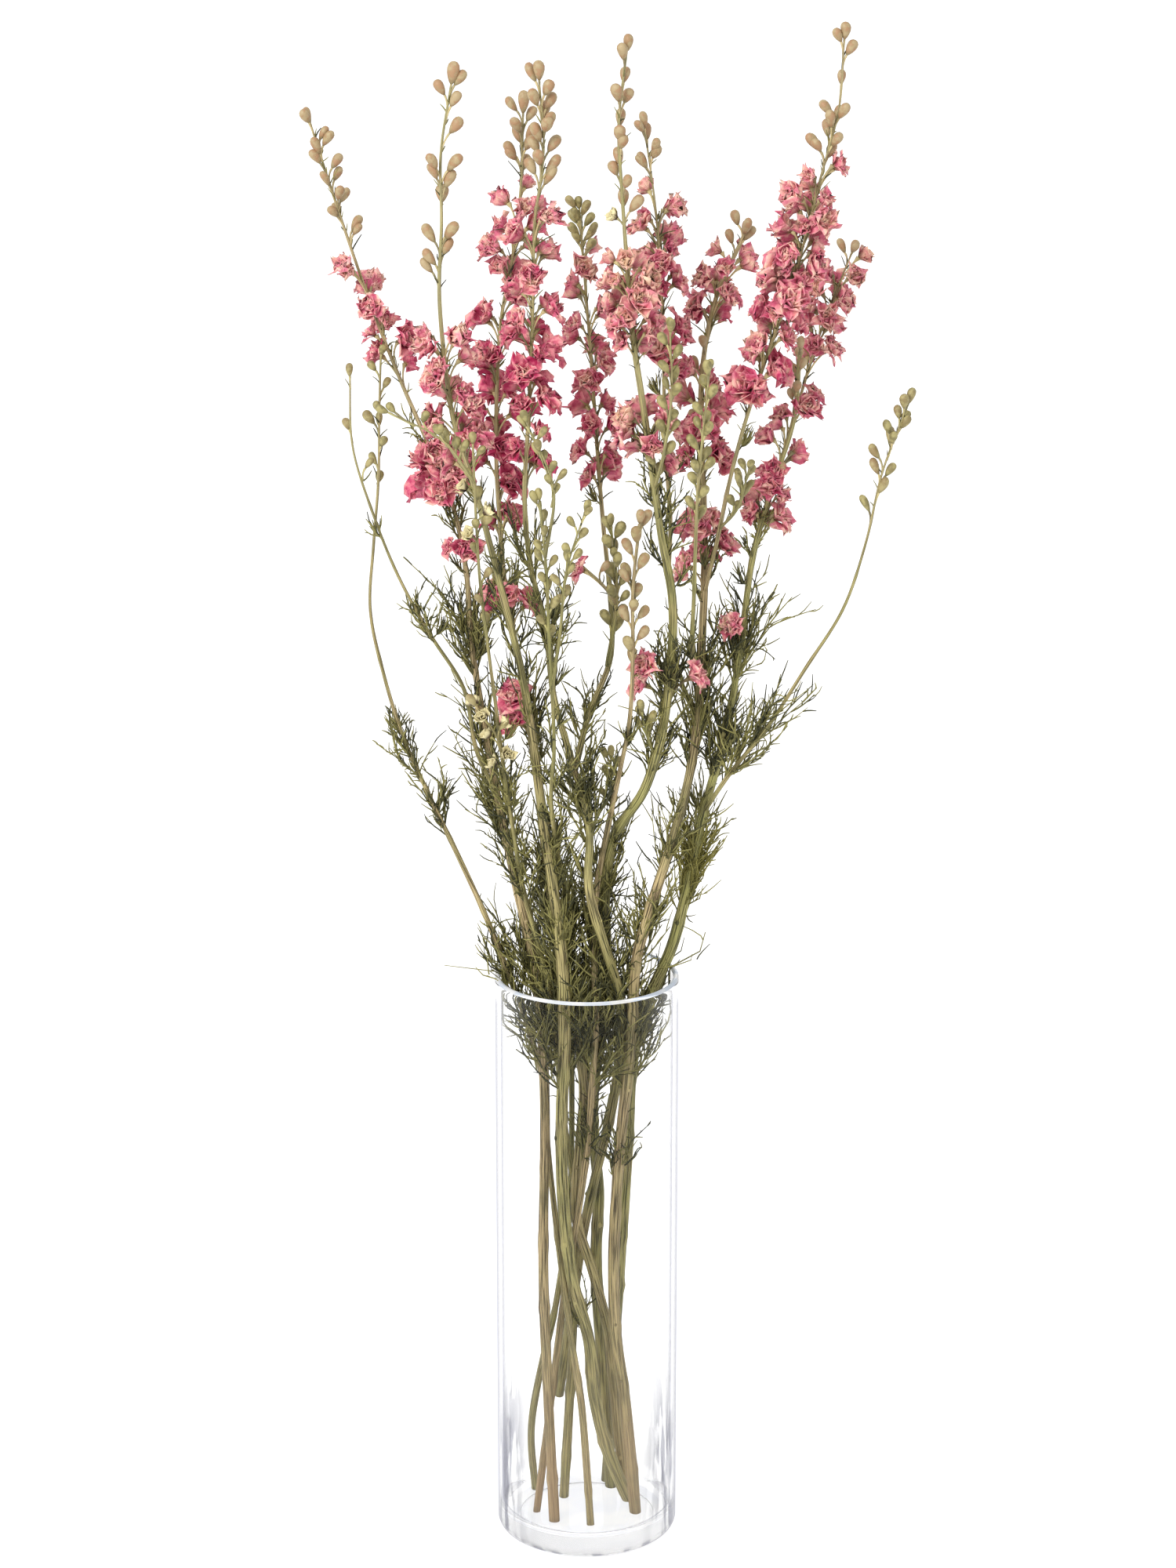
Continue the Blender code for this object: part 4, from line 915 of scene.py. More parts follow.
def stalk_parts(name, station_line, knots, green, rng):
    """A strand's stalk: a long ribbed rod that swells a little where leaves sat, with their scars."""
    strand = STRANDS[name]
    line = curve_points(list(station_line), RING_STEP)
    share = np.linspace(0, 1, len(line))
    thickness = stalk_radii(name, line)
    slow_wave = 0.03 * np.sin(share * 40 + rng.uniform(0, 6))
    quick_wave = 0.02 * np.sin(share * 97 + rng.uniform(0, 6))
    thickness *= 1 + slow_wave + quick_wave
    radii = knots_along(line, thickness, knots)
    sides = STALK_SIDES if strand.root > STOUT_ROOT else BRANCH_SIDES
    template = rod(sides, len(line))
    shape = corners_of(template)
    angle = np.arctan2(shape[:, 1], shape[:, 0])
    factor = 1 + 0.05 * np.cos(sides / 2 * angle) + 0.04 * np.cos(3 * angle + 4 * shape[:, 2])
    shape[:, :2] *= factor[:, None]
    points = bend(shape, line[None], radii[None])
    if strand.parent is None and name != "c":
        foot = shape[:, 2] < 0.5 / len(line)
        points[0, foot, 2] = FOOT_Z
    parts = [(template, points, facts_of(points, angle / (2 * math.pi) + 0.5, points[..., 2], green))]
    if sides == STALK_SIDES:
        heights = [knot[0] for knot in knots if knot[0] < HIGHEST_SCAR]
        parts.append(scars(line, radii, heights, green, rng))
    return parts


def facts_of(points, first, second, third):
    """The three facts that each point carries into its material."""
    facts = np.zeros_like(points)
    facts[..., 0] = first
    facts[..., 1] = second
    facts[..., 2] = third
    return facts


def scars(line, radii, heights, green, rng):
    """Blunt scars of fallen leaves on a stout stalk."""
    template = ball(7, 5)
    shape = corners_of(template)
    points = []
    for height in heights:
        place = at_height(line, height)[0]
        radius = float(np.interp(height, line[:, 2], radii))
        out = outward(rng.uniform(0, 360), 0.5)
        size = rng.uniform(0.9, 1.5)
        points.append(place + out * radius * 0.9 + shape * np.array([size, size, size * 1.3]))
    points = np.array(points)
    return template, points, facts_of(points, rng.uniform(0, 1, (len(points), 1)), points[..., 2], green)


def flower_stalks(stalks, green, rng):
    """The thin stalks of blooms and buds: each rises along the stem and turns out to its flower."""
    template = rod(FLOWER_STALK_SIDES, len(FLOWER_STALK_RADII))
    shape = corners_of(template)
    t = np.linspace(0, 1, len(FLOWER_STALK_RADII))[None, :, None]
    low, middle, high, end_radius = columns(stalks)
    paths = (low[:, None] * (1 - t) ** 2 + middle[:, None] * 2 * t * (1 - t) + high[:, None] * t ** 2)
    radii = np.array(FLOWER_STALK_RADII)[None, :] * np.ones((len(stalks), 1))
    radii[:, -1] = end_radius
    points = bend(shape, paths, radii)
    return template, points, facts_of(points, rng.uniform(0, 1, (len(stalks), 1)), points[..., 2], green)


def petal_points(shape, petals, rng):
    """The points of crumpled petals. Each petal is its bloom's base and axes and its own sizes."""
    count = len(petals)
    sizes = ("length", "width", "low", "high", "cup", "fold", "twist", "ruffle", "inset", "rise", "turn")
    own = {size: np.array([petal[size] for petal in petals])[:, None] for size in sizes}
    u = shape[None, :, 0]
    v = (shape[None, :, 1] + 1) / 2
    rows = len(np.unique(np.round(shape[:, 1], 4)))
    across = len(np.unique(np.round(shape[:, 0], 4)))
    row = np.rint(v[0] * (rows - 1)).astype(int)
    column = np.rint((u[0] + 1) / 2 * (across - 1)).astype(int)
    steps = np.linspace(0, 1, rows)[None, :]
    lean = own["low"] + (own["high"] - own["low"]) * steps ** 1.2
    between = (lean[:, 1:] + lean[:, :-1]) / 2
    step = own["length"] / (rows - 1)
    start = np.zeros((count, 1))
    radius = own["inset"] + np.concatenate([start, np.cumsum(np.sin(between) * step, axis=1)], axis=1)
    height = own["rise"] + np.concatenate([start, np.cumsum(np.cos(between) * step, axis=1)], axis=1)
    half = own["width"] * (0.2 * (1 - v) + np.sin(np.pi * 0.95 * v ** 1.1) ** 0.8)
    aside = half * np.sin(own["cup"] * u) / own["cup"]
    inward = half * ((1 - np.cos(own["cup"] * u)) / own["cup"] + own["fold"] * np.abs(u))
    phase = rng.uniform(0, 2 * np.pi, (count, 6, 1))
    waves = rng.uniform(1.0, 2.1, (count, 1))
    inward = inward + own["ruffle"] * v ** 1.3 * np.sin(np.pi * waves * u + phase[:, 0])
    inward = inward + 0.6 * own["ruffle"] * v * np.sin(5.1 * u + 8.3 * v + phase[:, 1])
    inward = inward + 0.45 * own["ruffle"] * np.sin(2.3 * u - 9.1 * v + phase[:, 2]) * v
    twisted = own["twist"] * v
    aside, inward = (aside * np.cos(twisted) - inward * np.sin(twisted),
                     aside * np.sin(twisted) + inward * np.cos(twisted))
    ragged = rng.uniform(-1.0, 0.8, (count, across))[:, column]
    teeth = own["length"] * v ** 4 * (0.16 * ragged - 0.18 * np.abs(u))
    lean, radius, height = lean[:, row], radius[:, row], height[:, row]
    radius = radius - np.cos(lean) * inward + np.sin(lean) * teeth
    height = height + np.sin(lean) * inward + np.cos(lean) * teeth
    local = np.stack([radius * np.cos(own["turn"]) - aside * np.sin(own["turn"]),
                      radius * np.sin(own["turn"]) + aside * np.cos(own["turn"]), height], axis=-1)
    axes = np.array([petal["axes"] for petal in petals])
    bases = np.array([petal["base"] for petal in petals])
    points = bases[:, None] + np.einsum("pij,pnj->pni", axes, local)
    return points, facts_of(points, u, v, np.array([petal["pale"] for petal in petals])[:, None])


def whorl(base, axes, count, pale, turn, rng, length, width, low, high, cup, ruffle, inset, rise):
    """One ring of petals that differ a little. Low and high are their lean at claw and tip, in degrees."""
    petals = []
    for k in range(count):
        petals.append({
            "base": base, "axes": axes, "pale": pale + rng.uniform(-0.12, 0.12),
            "turn": turn + 2 * math.pi * k / count + rng.uniform(-0.25, 0.25),
            "twist": rng.uniform(-0.6, 0.6),
            "length": length * rng.uniform(0.82, 1.16),
            "width": width * rng.uniform(0.85, 1.2),
            "low": math.radians(low + rng.uniform(-9, 9)),
            "high": math.radians(high + rng.uniform(-26, 26)),
            "cup": cup * rng.uniform(0.6, 1.3),
            "fold": rng.uniform(-0.35, 0.7),
            "ruffle": ruffle * rng.uniform(0.6, 1.4),
            "inset": inset, "rise": rise * rng.uniform(0.6, 1.4),
        })
    return petals


def bloom_petals(base, facing, radius, age, pale, small, rng):
    """A double bloom's large and small petals: broad ones, bent back, round ever smaller ruffled ones."""
    axes = np.array(frame_of(facing))
    turn = rng.uniform(0, 2 * math.pi)
    opening = 1 - 0.6 * age
    broad = rng.uniform(0.85, 1.25)
    outer = whorl(base, axes, 5, pale, turn, rng, length=radius * 1.12, width=radius * 0.42 * broad,
                  low=36 - 12 * age, high=116 * opening, cup=0.6, ruffle=radius * 0.11, inset=0.6, rise=0.2)
    second = whorl(base, axes, 4 if small else 6, pale + 0.06, turn + 0.6, rng,
                   length=radius * 0.98, width=radius * 0.33 * broad, low=26 - 8 * age, high=90 * opening,
                   cup=0.8, ruffle=radius * 0.13, inset=0.5, rise=radius * 0.05)
    third = whorl(base, axes, 4 if small else 6, pale + 0.14, turn + 0.3, rng,
                  length=radius * 0.8, width=radius * 0.26, low=16, high=62 * opening,
                  cup=1.0, ruffle=radius * 0.12, inset=radius * 0.06, rise=radius * 0.10)
    heart = whorl(base, axes, 2 if small else 4, pale + 0.3, turn + 0.9, rng,
                  length=radius * 0.62, width=radius * 0.22, low=6, high=32 * opening,
                  cup=1.2, ruffle=radius * 0.10, inset=radius * 0.05, rise=radius * 0.16)
    if small:
        return [], outer + second + third + heart
    return outer, second + third + heart


def cup_petals(base, facing, rng):
    """A spent flower: five short blunt cream petals round a dark centre."""
    axes = np.array(frame_of(facing))
    ring = whorl(base, axes, 5, CREAM, rng.uniform(0, 6.28), rng, length=6.2, width=3.0, low=46, high=22,
                 cup=0.8, ruffle=0.35, inset=0.9, rise=0.1)
    heart = whorl(base, axes, 5, CREAM, rng.uniform(0, 6.28), rng, length=4.2, width=1.5, low=22, high=30,
                  cup=0.8, ruffle=0.35, inset=0.5, rise=0.4)
    for petal in ring + heart:
        petal["high"] = max(petal["high"], 0.1)
    return ring + heart


def buds_points(shape, buds, rng):
    """The points of closed buds: drawn out to the stalk, widest above the middle, with five seams."""
    angle = np.arctan2(shape[:, 1], shape[:, 0])
    t = (shape[:, 2] + 1) / 2
    seam = np.abs(np.cos(2.5 * angle))
    profile = 1.42 * t ** 0.62 * np.sqrt(np.clip(1 - t ** 3.0, 0, 1))
    profile = np.maximum(profile, 0.1 * (t < 0.5) * (t > 0.01))
    points = []
    facts = []
    for base, direction, length, radius, green in buds:
        axes = np.array(frame_of(direction))
        long = length * rng.uniform(0.95, 1.15)
        squash = rng.uniform(0.85, 1.12)
        wide = radius * rng.uniform(0.92, 1.08) * profile * (0.84 + 0.16 * seam)
        turn = rng.uniform(0, 6.28)
        lopsided = 0.35 * np.sin(t * math.pi) * rng.uniform(-1, 1)
        local = np.stack([wide * np.cos(angle + turn) * squash + lopsided,
                          wide * np.sin(angle + turn) / squash, long * t - 0.3], axis=-1)
        points.append(base + local @ axes.T)
        facts.append(np.stack([seam, t, np.full(len(t), green + rng.uniform(-0.15, 0.15))], axis=-1))
    return np.array(points), np.array(facts)


class Finish:
    """A material and short calls that wire its nodes."""

    def __init__(self, name, roughness):
        self.material = bpy.data.materials.new(name)
        self.material.use_nodes = True
        self.tree = self.material.node_tree
        self.shader = self.tree.nodes["Principled BSDF"]
        self.shader.inputs["Roughness"].default_value = roughness

    def link(self, source, socket):
        if isinstance(source, bpy.types.NodeSocket):
            self.tree.links.new(source, socket)
        else:
            socket.default_value = source

    def parts(self, vector):
        node = self.tree.nodes.new("ShaderNodeSeparateXYZ")
        self.link(vector, node.inputs[0])
        return tuple(node.outputs)

    def surface(self):
        """The three facts that each point carries: across or round, along, and how pale or green it is."""
        node = self.tree.nodes.new("ShaderNodeAttribute")
        node.attribute_name = "surface"
        return self.parts(node.outputs["Vector"])

    def place(self):
        return self.tree.nodes.new("ShaderNodeTexCoord").outputs["Object"]

    def math(self, operation, a, b=0.0, clamp=False):
        node = self.tree.nodes.new("ShaderNodeMath")
        node.operation = operation
        node.use_clamp = clamp
        self.link(a, node.inputs[0])
        self.link(b, node.inputs[1])
        return node.outputs[0]

    def times(self, a, b):
        return self.math("MULTIPLY", a, b)

    def plus(self, a, b, clamp=False):
        return self.math("ADD", a, b, clamp)

    def swing(self, value, strength):
        """A noise value turned about its middle, from less to more than nothing."""
        return self.times(self.math("SUBTRACT", value, 0.5), strength)

    def spread(self, value, low, high):
        """The value as 0 at low, 1 at high and smooth between."""
        node = self.tree.nodes.new("ShaderNodeMapRange")
        node.interpolation_type = "SMOOTHSTEP"
        self.link(value, node.inputs["Value"])
        node.inputs["From Min"].default_value = low
        node.inputs["From Max"].default_value = high
        return node.outputs["Result"]

    def point(self, x, y, z):
        node = self.tree.nodes.new("ShaderNodeCombineXYZ")
        for value, socket in zip((x, y, z), node.inputs):
            self.link(value, socket)
        return node.outputs[0]

    def noise(self, vector, scale, detail=2.0):
        node = self.tree.nodes.new("ShaderNodeTexNoise")
        self.link(vector, node.inputs["Vector"])
        node.inputs["Scale"].default_value = scale
        node.inputs["Detail"].default_value = detail
        return node.outputs["Fac"]

    def mix(self, factor, a, b):
        node = self.tree.nodes.new("ShaderNodeMix")
        node.data_type = "RGBA"
        self.link(factor, node.inputs[0])
        self.link(a, node.inputs[6])
        self.link(b, node.inputs[7])
        return node.outputs[2]

    def tint(self, colour, share, strength, other):
        """The colour, with up to the given strength of another where the share is one."""
        return self.mix(self.times(share, strength), colour, other)

    def done(self, colour, height=None, depth=0.0004):
        """The material with this base colour, and bumps as high as the height says."""
        self.link(colour, self.shader.inputs["Base Color"])
        if height is not None:
            bump = self.tree.nodes.new("ShaderNodeBump")
            bump.inputs["Distance"].default_value = depth
            bump.inputs["Strength"].default_value = 0.6
            self.link(height, bump.inputs["Height"])
            self.link(bump.outputs["Normal"], self.shader.inputs["Normal"])
        return self.material

    def let_through(self, share, bending):
        """Makes the finish a glass that lets this share of the light through."""
        self.shader.inputs["Transmission Weight"].default_value = share
        self.shader.inputs["IOR"].default_value = bending


def tone(red, green, blue):
    """A colour given as a painter mixes it, from 0 to 255, in the renderer's linear values."""
    linear = [((c / 255 + 0.055) / 1.055) ** 2.4 if c > 10 else c / 255 / 12.92 for c in (red, green, blue)]
    return (*linear, 1.0)


def petal_finish():
    """Dried rose petals: deep rose with lengthwise veins, paler towards the edge, with painted shade that
    darkens the throat.
    """
    petal = Finish("Dried rose petals", 0.6)
    across, along, pale = petal.surface()
    place = petal.place()
    blotch = petal.noise(place, 200.0, 3.0)
    crumple = petal.noise(place, 900.0, 2.0)
    veins = petal.noise(petal.point(petal.times(across, 9.0), petal.times(along, 1.4), pale), 1.0, 3.0)
    rose = petal.mix(petal.spread(blotch, 0.38, 0.62), tone(170, 26, 78), tone(214, 76, 118))
    faded = petal.mix(petal.spread(blotch, 0.35, 0.65), tone(226, 130, 150), tone(236, 196, 174))
    sides = petal.spread(petal.math("ABSOLUTE", across), 0.7, 1.0)
    edge = petal.math("MAXIMUM", sides, petal.spread(along, 0.82, 1.0))
    paleness = petal.plus(petal.times(edge, 0.36), petal.times(pale, 0.85))
    paleness = petal.plus(paleness, petal.swing(blotch, 1.2), clamp=True)
    colour = petal.mix(paleness, rose, faded)
    colour = petal.tint(colour, petal.spread(pale, 0.75, 1.25), 0.65, tone(206, 168, 122))
    vein_colour = petal.mix(0.6, colour, tone(104, 14, 46))
    colour = petal.tint(colour, petal.spread(veins, 0.5, 0.7), 0.5, vein_colour)
    # Painted shade: deeper rose towards each petal's base, where the gaps between petals fall into shade.
    painted_throat_shade = petal.spread(along, 0.5, 0.1)
    colour = petal.tint(colour, painted_throat_shade, 0.55, tone(124, 26, 54))
    claw = petal.spread(along, 0.22, 0.02)
    colour = petal.tint(colour, claw, 0.8, tone(150, 132, 84))
    cream = petal.mix(petal.spread(along, 0.62, 0.2), tone(220, 208, 160), tone(74, 56, 34))
    colour = petal.mix(petal.spread(pale, 1.5, 1.7), colour, cream)
    return petal.done(colour, petal.plus(petal.plus(veins, blotch), petal.times(crumple, 0.5)))


def bud_finish():
    """Dried buds: tan with a blush beside the seams, or still green, darker in the seams."""
    bud = Finish("Dried buds", 0.55)
    seam, along, green = bud.surface()
    blotch = bud.noise(bud.place(), 260.0, 2.0)
    tan = bud.mix(bud.spread(blotch, 0.4, 0.6), tone(164, 144, 108), tone(140, 120, 82))
    blush = bud.times(bud.spread(seam, 0.35, 0.85), bud.spread(blotch, 0.45, 0.6))
    tan = bud.tint(tan, blush, 0.45, tone(184, 128, 100))
    leafy = bud.mix(bud.spread(blotch, 0.4, 0.6), tone(156, 146, 94), tone(120, 112, 68))
    colour = bud.mix(bud.spread(green, 0.1, 0.75), tan, leafy)
    colour = bud.tint(colour, bud.spread(seam, 0.55, 0.05), 0.75, tone(96, 80, 46))
    colour = bud.tint(colour, bud.spread(along, 0.35, 0.0), 0.55, tone(98, 94, 58))
    return bud.done(colour, bud.plus(bud.times(seam, 0.6), blotch), 0.0005)


def stalk_finish():
    """Dried stalks: olive-brown straw with fine lengthwise fibres and darker stains, and painted light that
    makes them paler low in the vase.
    """
    stalk = Finish("Dried stalks", 0.6)
    around, along, green = stalk.surface()
    turn = stalk.times(around, 2 * math.pi)
    fibre_place = stalk.point(stalk.times(stalk.math("COSINE", turn), 3.2),
                              stalk.times(stalk.math("SINE", turn), 3.2), stalk.times(along, 0.03))
    fibres = stalk.noise(fibre_place, 1.7, 5.0)
    stain = stalk.noise(stalk.place(), 30.0, 3.0)
    ridges = stalk.spread(fibres, 0.38, 0.6)
    straw = stalk.mix(ridges, tone(70, 56, 28), tone(192, 170, 124))
    leafy = stalk.mix(ridges, tone(58, 60, 20), tone(168, 164, 96))
    colour = stalk.mix(stalk.plus(green, stalk.swing(stain, 1.8), clamp=True), straw, leafy)
    rusty_foot = stalk.times(stalk.spread(along, 120.0, 20.0), stalk.spread(green, 0.5, 0.1))
    colour = stalk.tint(colour, rusty_foot, 0.6, tone(150, 98, 72))
    colour = stalk.tint(colour, stalk.spread(stain, 0.54, 0.68), 0.45, tone(74, 62, 40))
    # Painted light: paler low down, in the vase, in place of the pale veil that the glass lays over the
    # stalks' feet.
    colour = stalk.tint(colour, stalk.spread(along, 190.0, 30.0), 0.32, tone(204, 192, 150))
    colour = stalk.tint(colour, stalk.spread(along, 520.0, 640.0), 0.3, tone(196, 184, 138))
    return stalk.done(colour, fibres, 0.0012)


def leaf_finish():
    """Dried thread leaves: dark olive, some threads lighter, and yellower on one tuft."""
    leaf = Finish("Dried thread leaves", 0.7)
    each, _, yellow = leaf.surface()
    blotch = leaf.noise(leaf.place(), 45.0, 2.0)
    light = leaf.plus(leaf.times(each, 0.7), leaf.times(blotch, 0.9))
    colour = leaf.mix(leaf.spread(light, 0.45, 1.15), tone(44, 46, 20), tone(138, 132, 74))
    colour = leaf.tint(colour, yellow, 0.65, tone(138, 130, 58))
    return leaf.done(colour, blotch)


def glass_finish():
    """Clear glass with painted shade: greyer blue where the eye grazes its walls, and faint streaks low
    down, in place of the dark edges and streaks that refraction and reflection draw in it.
    """
    glass = Finish("Clear glass", 0.0)
    weight = glass.tree.nodes.new("ShaderNodeLayerWeight")
    weight.inputs["Blend"].default_value = 0.5
    facing = weight.outputs["Facing"]
    x, y, z = glass.parts(glass.place())
    # Painted shade: faint streaks low on the walls, where the eye grazes them, stand in for the streaks that
    # refraction draws in the thick glass near the floor.
    streak_place = glass.point(glass.times(x, 160.0), glass.times(y, 160.0), glass.times(z, 26.0))
    painted_streak_shade = glass.spread(glass.noise(streak_place, 1.0, 2.0), 0.43, 0.54)
    low = glass.times(glass.spread(z, 0.125, 0.045), painted_streak_shade)
    from_axis = glass.math("SQRT", glass.plus(glass.times(x, x), glass.times(y, y)))
    on_wall = glass.times(glass.spread(facing, 0.2, 0.62), glass.spread(from_axis, 0.044, 0.0465))
    # Painted shade: a blue-grey line where the eye grazes the walls below the rim stands in for the dark
    # edges that refraction and reflection draw in clear glass.
    edge = glass.times(glass.spread(facing, 0.62, 0.9), glass.spread(z, 0.3225, 0.31))
    edge = glass.math("MAXIMUM", edge, glass.times(glass.times(low, on_wall), 0.85))
    glass.let_through(1.0, 1.4)
    glass.shader.inputs["Specular Tint"].default_value = (0.12, 0.12, 0.12, 1.0)
    return glass.done(glass.mix(edge, WHITE, tone(26, 32, 74)))


def underside_finish():
    """The vase's underside, which is ground and spreads the light."""
    glass = Finish("Ground glass underside", 0.45)
    cloud = glass.spread(glass.noise(glass.place(), 40.0, 2.0), 0.4, 0.6)
    glass.let_through(1.0, 1.2)
    return glass.done(glass.mix(cloud, tone(242, 244, 250), WHITE))


def rim_painted_highlight_finish():
    """The fire-polished rim, paler and half opaque: a painted highlight, in place of the light that the rim
    catches as a pale line.
    """
    glass = Finish("Polished glass rim", 0.1)
    waver = glass.spread(glass.noise(glass.place(), 60.0, 2.0), 0.4, 0.6)
    # Painted highlight: the rim lets less light through and is near white, so it shows as a pale line.
    glass.let_through(0.45, 1.2)
    return glass.done(glass.mix(waver, tone(226, 236, 250), WHITE))


def show(name, mesh, material, node):
    """A finished piece, which stands for a node of the construction model."""
    mesh.materials.append(material)
    piece = bpy.data.objects.new(name, mesh)
    bpy.context.scene.collection.objects.link(piece)
    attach(piece, "root")
    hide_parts(node)
    return piece


def arc_points(centre, radius, start, end, steps):
    """Points along an arc of a section, in degrees from +X."""
    angles = np.radians(np.linspace(start, end, steps + 1))
    return [(centre[0] + radius * math.cos(a), centre[1] + radius * math.sin(a)) for a in angles]


def build_vase():
    """The cylinder, turned from its section: thick floor, rounded lower edge and fire-polished rim."""
    lip = VASE_WALL / 2
    section = [(0, 1.2), (VASE_RADIUS - 16, 0.8)]
    section += arc_points((VASE_RADIUS - 11, 2.0), 2.0, 210, 285, 4)
    section += arc_points((VASE_RADIUS - 7, 7.0), 7.0, 292, 360, 8)
    section += [(VASE_RADIUS, height) for height in (9, 12, 20) + WALL_RINGS]
    section += arc_points((VASE_RADIUS - lip, VASE_HEIGHT - lip), lip, 0, 180, 10)
    section += [(INSIDE_RADIUS, height) for height in WALL_RINGS[::-1] + (30, 23, 21)]
    inner_corner = (INSIDE_RADIUS - FLOOR_ROUNDING, VASE_FLOOR + FLOOR_ROUNDING)
    section += arc_points(inner_corner, FLOOR_ROUNDING, 0, -90, 9)
    section += [(0, VASE_FLOOR - 0.4)]
    bm = bmesh.new()
    corners = [bm.verts.new((radius * MM, 0, height * MM)) for radius, height in section]
    edges = [bm.edges.new(pair) for pair in zip(corners, corners[1:])]
    bmesh.ops.spin(bm, geom=corners + edges, cent=(0, 0, 0), axis=(0, 0, 1), angle=2 * math.pi,
                   steps=VASE_SIDES, use_merge=True)
    bmesh.ops.remove_doubles(bm, verts=bm.verts, dist=0.01 * MM)
    bmesh.ops.recalc_face_normals(bm, faces=bm.faces)
    mesh = finished(bm, "vase_glass")
    mesh.shade_smooth()
    show("vase_glass", mesh, glass_finish(), "vase")
    mesh.materials.append(rim_painted_highlight_finish())
    mesh.materials.append(underside_finish())
    for face in mesh.polygons:
        if face.center.z > (VASE_HEIGHT - RIM_DEPTH) * MM:
            face.material_index = 1
        elif face.center.z < UNDERSIDE_TOP * MM:
            face.material_index = 2


class CutStem:
    """What one cut stem carries, gathered before its meshes are made."""

    def __init__(self, name, lines, rng):
        self.name, self.lines, self.rng = name, lines, rng
        self.large_petals, self.small_petals = [], []
        self.closed_buds, self.bracts = [], []
        self.stalks, self.stalk_greens = [], []

    def add_stalk(self, strand, base, direction, drop, end_radius, green):
        """A flower's stalk, from where it leaves its strand to the flower's base."""
        line = self.lines[strand]
        low, along = at_height(line, max(base[2] - drop, line[0, 2]))
        middle = low + along * drop * 0.55 + (base - low) * 0.12
        self.stalks.append((low, middle, base + direction * 0.3, end_radius))
        self.stalk_greens.append(green)
        return low, middle

    def add_bract(self, start, length, facing):
        """A thread that stands beside a flower's stalk: its start, direction, length and bend."""
        out = unit(np.array([facing[0], facing[1], 1.5]) + self.rng.normal(0, 0.35, 3))
        self.bracts.append((start, out, length * self.rng.uniform(0.6, 1.3), self.rng.normal(0, 0.3, 3)))

    def add_bloom(self, strand, age, base, facing, radius):
        pale = PALENESS.get(strand, 0.4) + 0.3 * age ** 2 + self.rng.uniform(-0.16, 0.16)
        pale = min(pale + float(np.interp(base[2], FADING_HEIGHTS, FADING)), PALEST)
        large, small = bloom_petals(base, facing, radius, age, pale, radius < SMALL_BLOOM, self.rng)
        self.large_petals += large
        self.small_petals += small
        low, middle = self.add_stalk(strand, base, facing, 15.0, 1.6, GREENNESS.get(strand, 0.3))
        self.add_bract(low, 8.0, facing)
        self.add_bract(low, 6.0, facing)
        self.add_bract(middle, 4.5, facing)

    def add_cup(self, strand, height, azimuth):
        facing = outward(azimuth, 0.7)
        base = at_height(self.lines[strand], height)[0] + facing * 4.5
        self.small_petals += cup_petals(base, facing, self.rng)
        self.add_stalk(strand, base, facing, 6.0, 1.3, 0.7)

    def add_bud(self, strand, base, direction, length, radius):
        green = GREENNESS.get(strand, 0.1)
        self.closed_buds.append((base, direction, length, radius, green))
        low = self.add_stalk(strand, base, direction, 3.0 * radius, 0.6, green)[0]
        self.add_bract(low, 5.0, direction)

    def stalks_mesh(self):
        parts = []
        for strand in STRANDS:
            if STRANDS[strand].node != self.name:
                continue
            knots = [(height + self.rng.uniform(-14, 14), self.rng.uniform(0.08, 0.22))
                     for height in KNOT_HEIGHTS]
            green = STALK_GREENNESS.get(strand, GREENNESS.get(strand, 0.3))
            parts += stalk_parts(strand, self.lines[strand], knots, green, self.rng)
        parts.append(flower_stalks(self.stalks, np.array(self.stalk_greens)[:, None], self.rng))
        return join_copies(self.name + "_stalks", parts)

    def blooms_mesh(self):
        parts = []
        for template, petals in ((sheet(6, 4), self.large_petals), (sheet(4, 3), self.small_petals)):
            if petals:
                parts.append((template, *petal_points(corners_of(template), petals, self.rng)))
        return join_copies(self.name + "_blooms", parts, crease=PETAL_CREASE)

    def buds_mesh(self):
        template = ball(10, 8)
        parts = [(template, *buds_points(corners_of(template), self.closed_buds, self.rng))]
        return join_copies(self.name + "_buds", parts)


def build_stem(name, lines, blooms, buds, leaves, plumes, finishes, rng):
    """One cut stem: its stalks, blooms, buds and leaves, each a piece of its own."""
    stem = CutStem(name, lines, rng)
    for bloom in blooms[name]:
        stem.add_bloom(*bloom)
    for cup in CUPS:
        if STRANDS[cup[0]].node == name:
            stem.add_cup(*cup)
    for bud in buds[name]:
        stem.add_bud(*bud)
    show(name + "_stalks", stem.stalks_mesh(), finishes["stalk"], name)
    if stem.small_petals:
        piece = show(name + "_blooms", stem.blooms_mesh(), finishes["petal"], name)
        thicken = piece.modifiers.new("Petal thickness", "SOLIDIFY")
        thicken.thickness = PETAL_THICKNESS * MM
        thicken.offset = 0.0
    if stem.closed_buds:
        show(name + "_buds", stem.buds_mesh(), finishes["bud"], name)
    yellowing = YELLOW_TUFTS.get(name, -FAR)
    mesh = leaves_mesh(name + "_leaves", leaves[name], plumes[name], stem.bracts, yellowing, rng)
    show(name + "_leaves", mesh, finishes["leaf"], name)


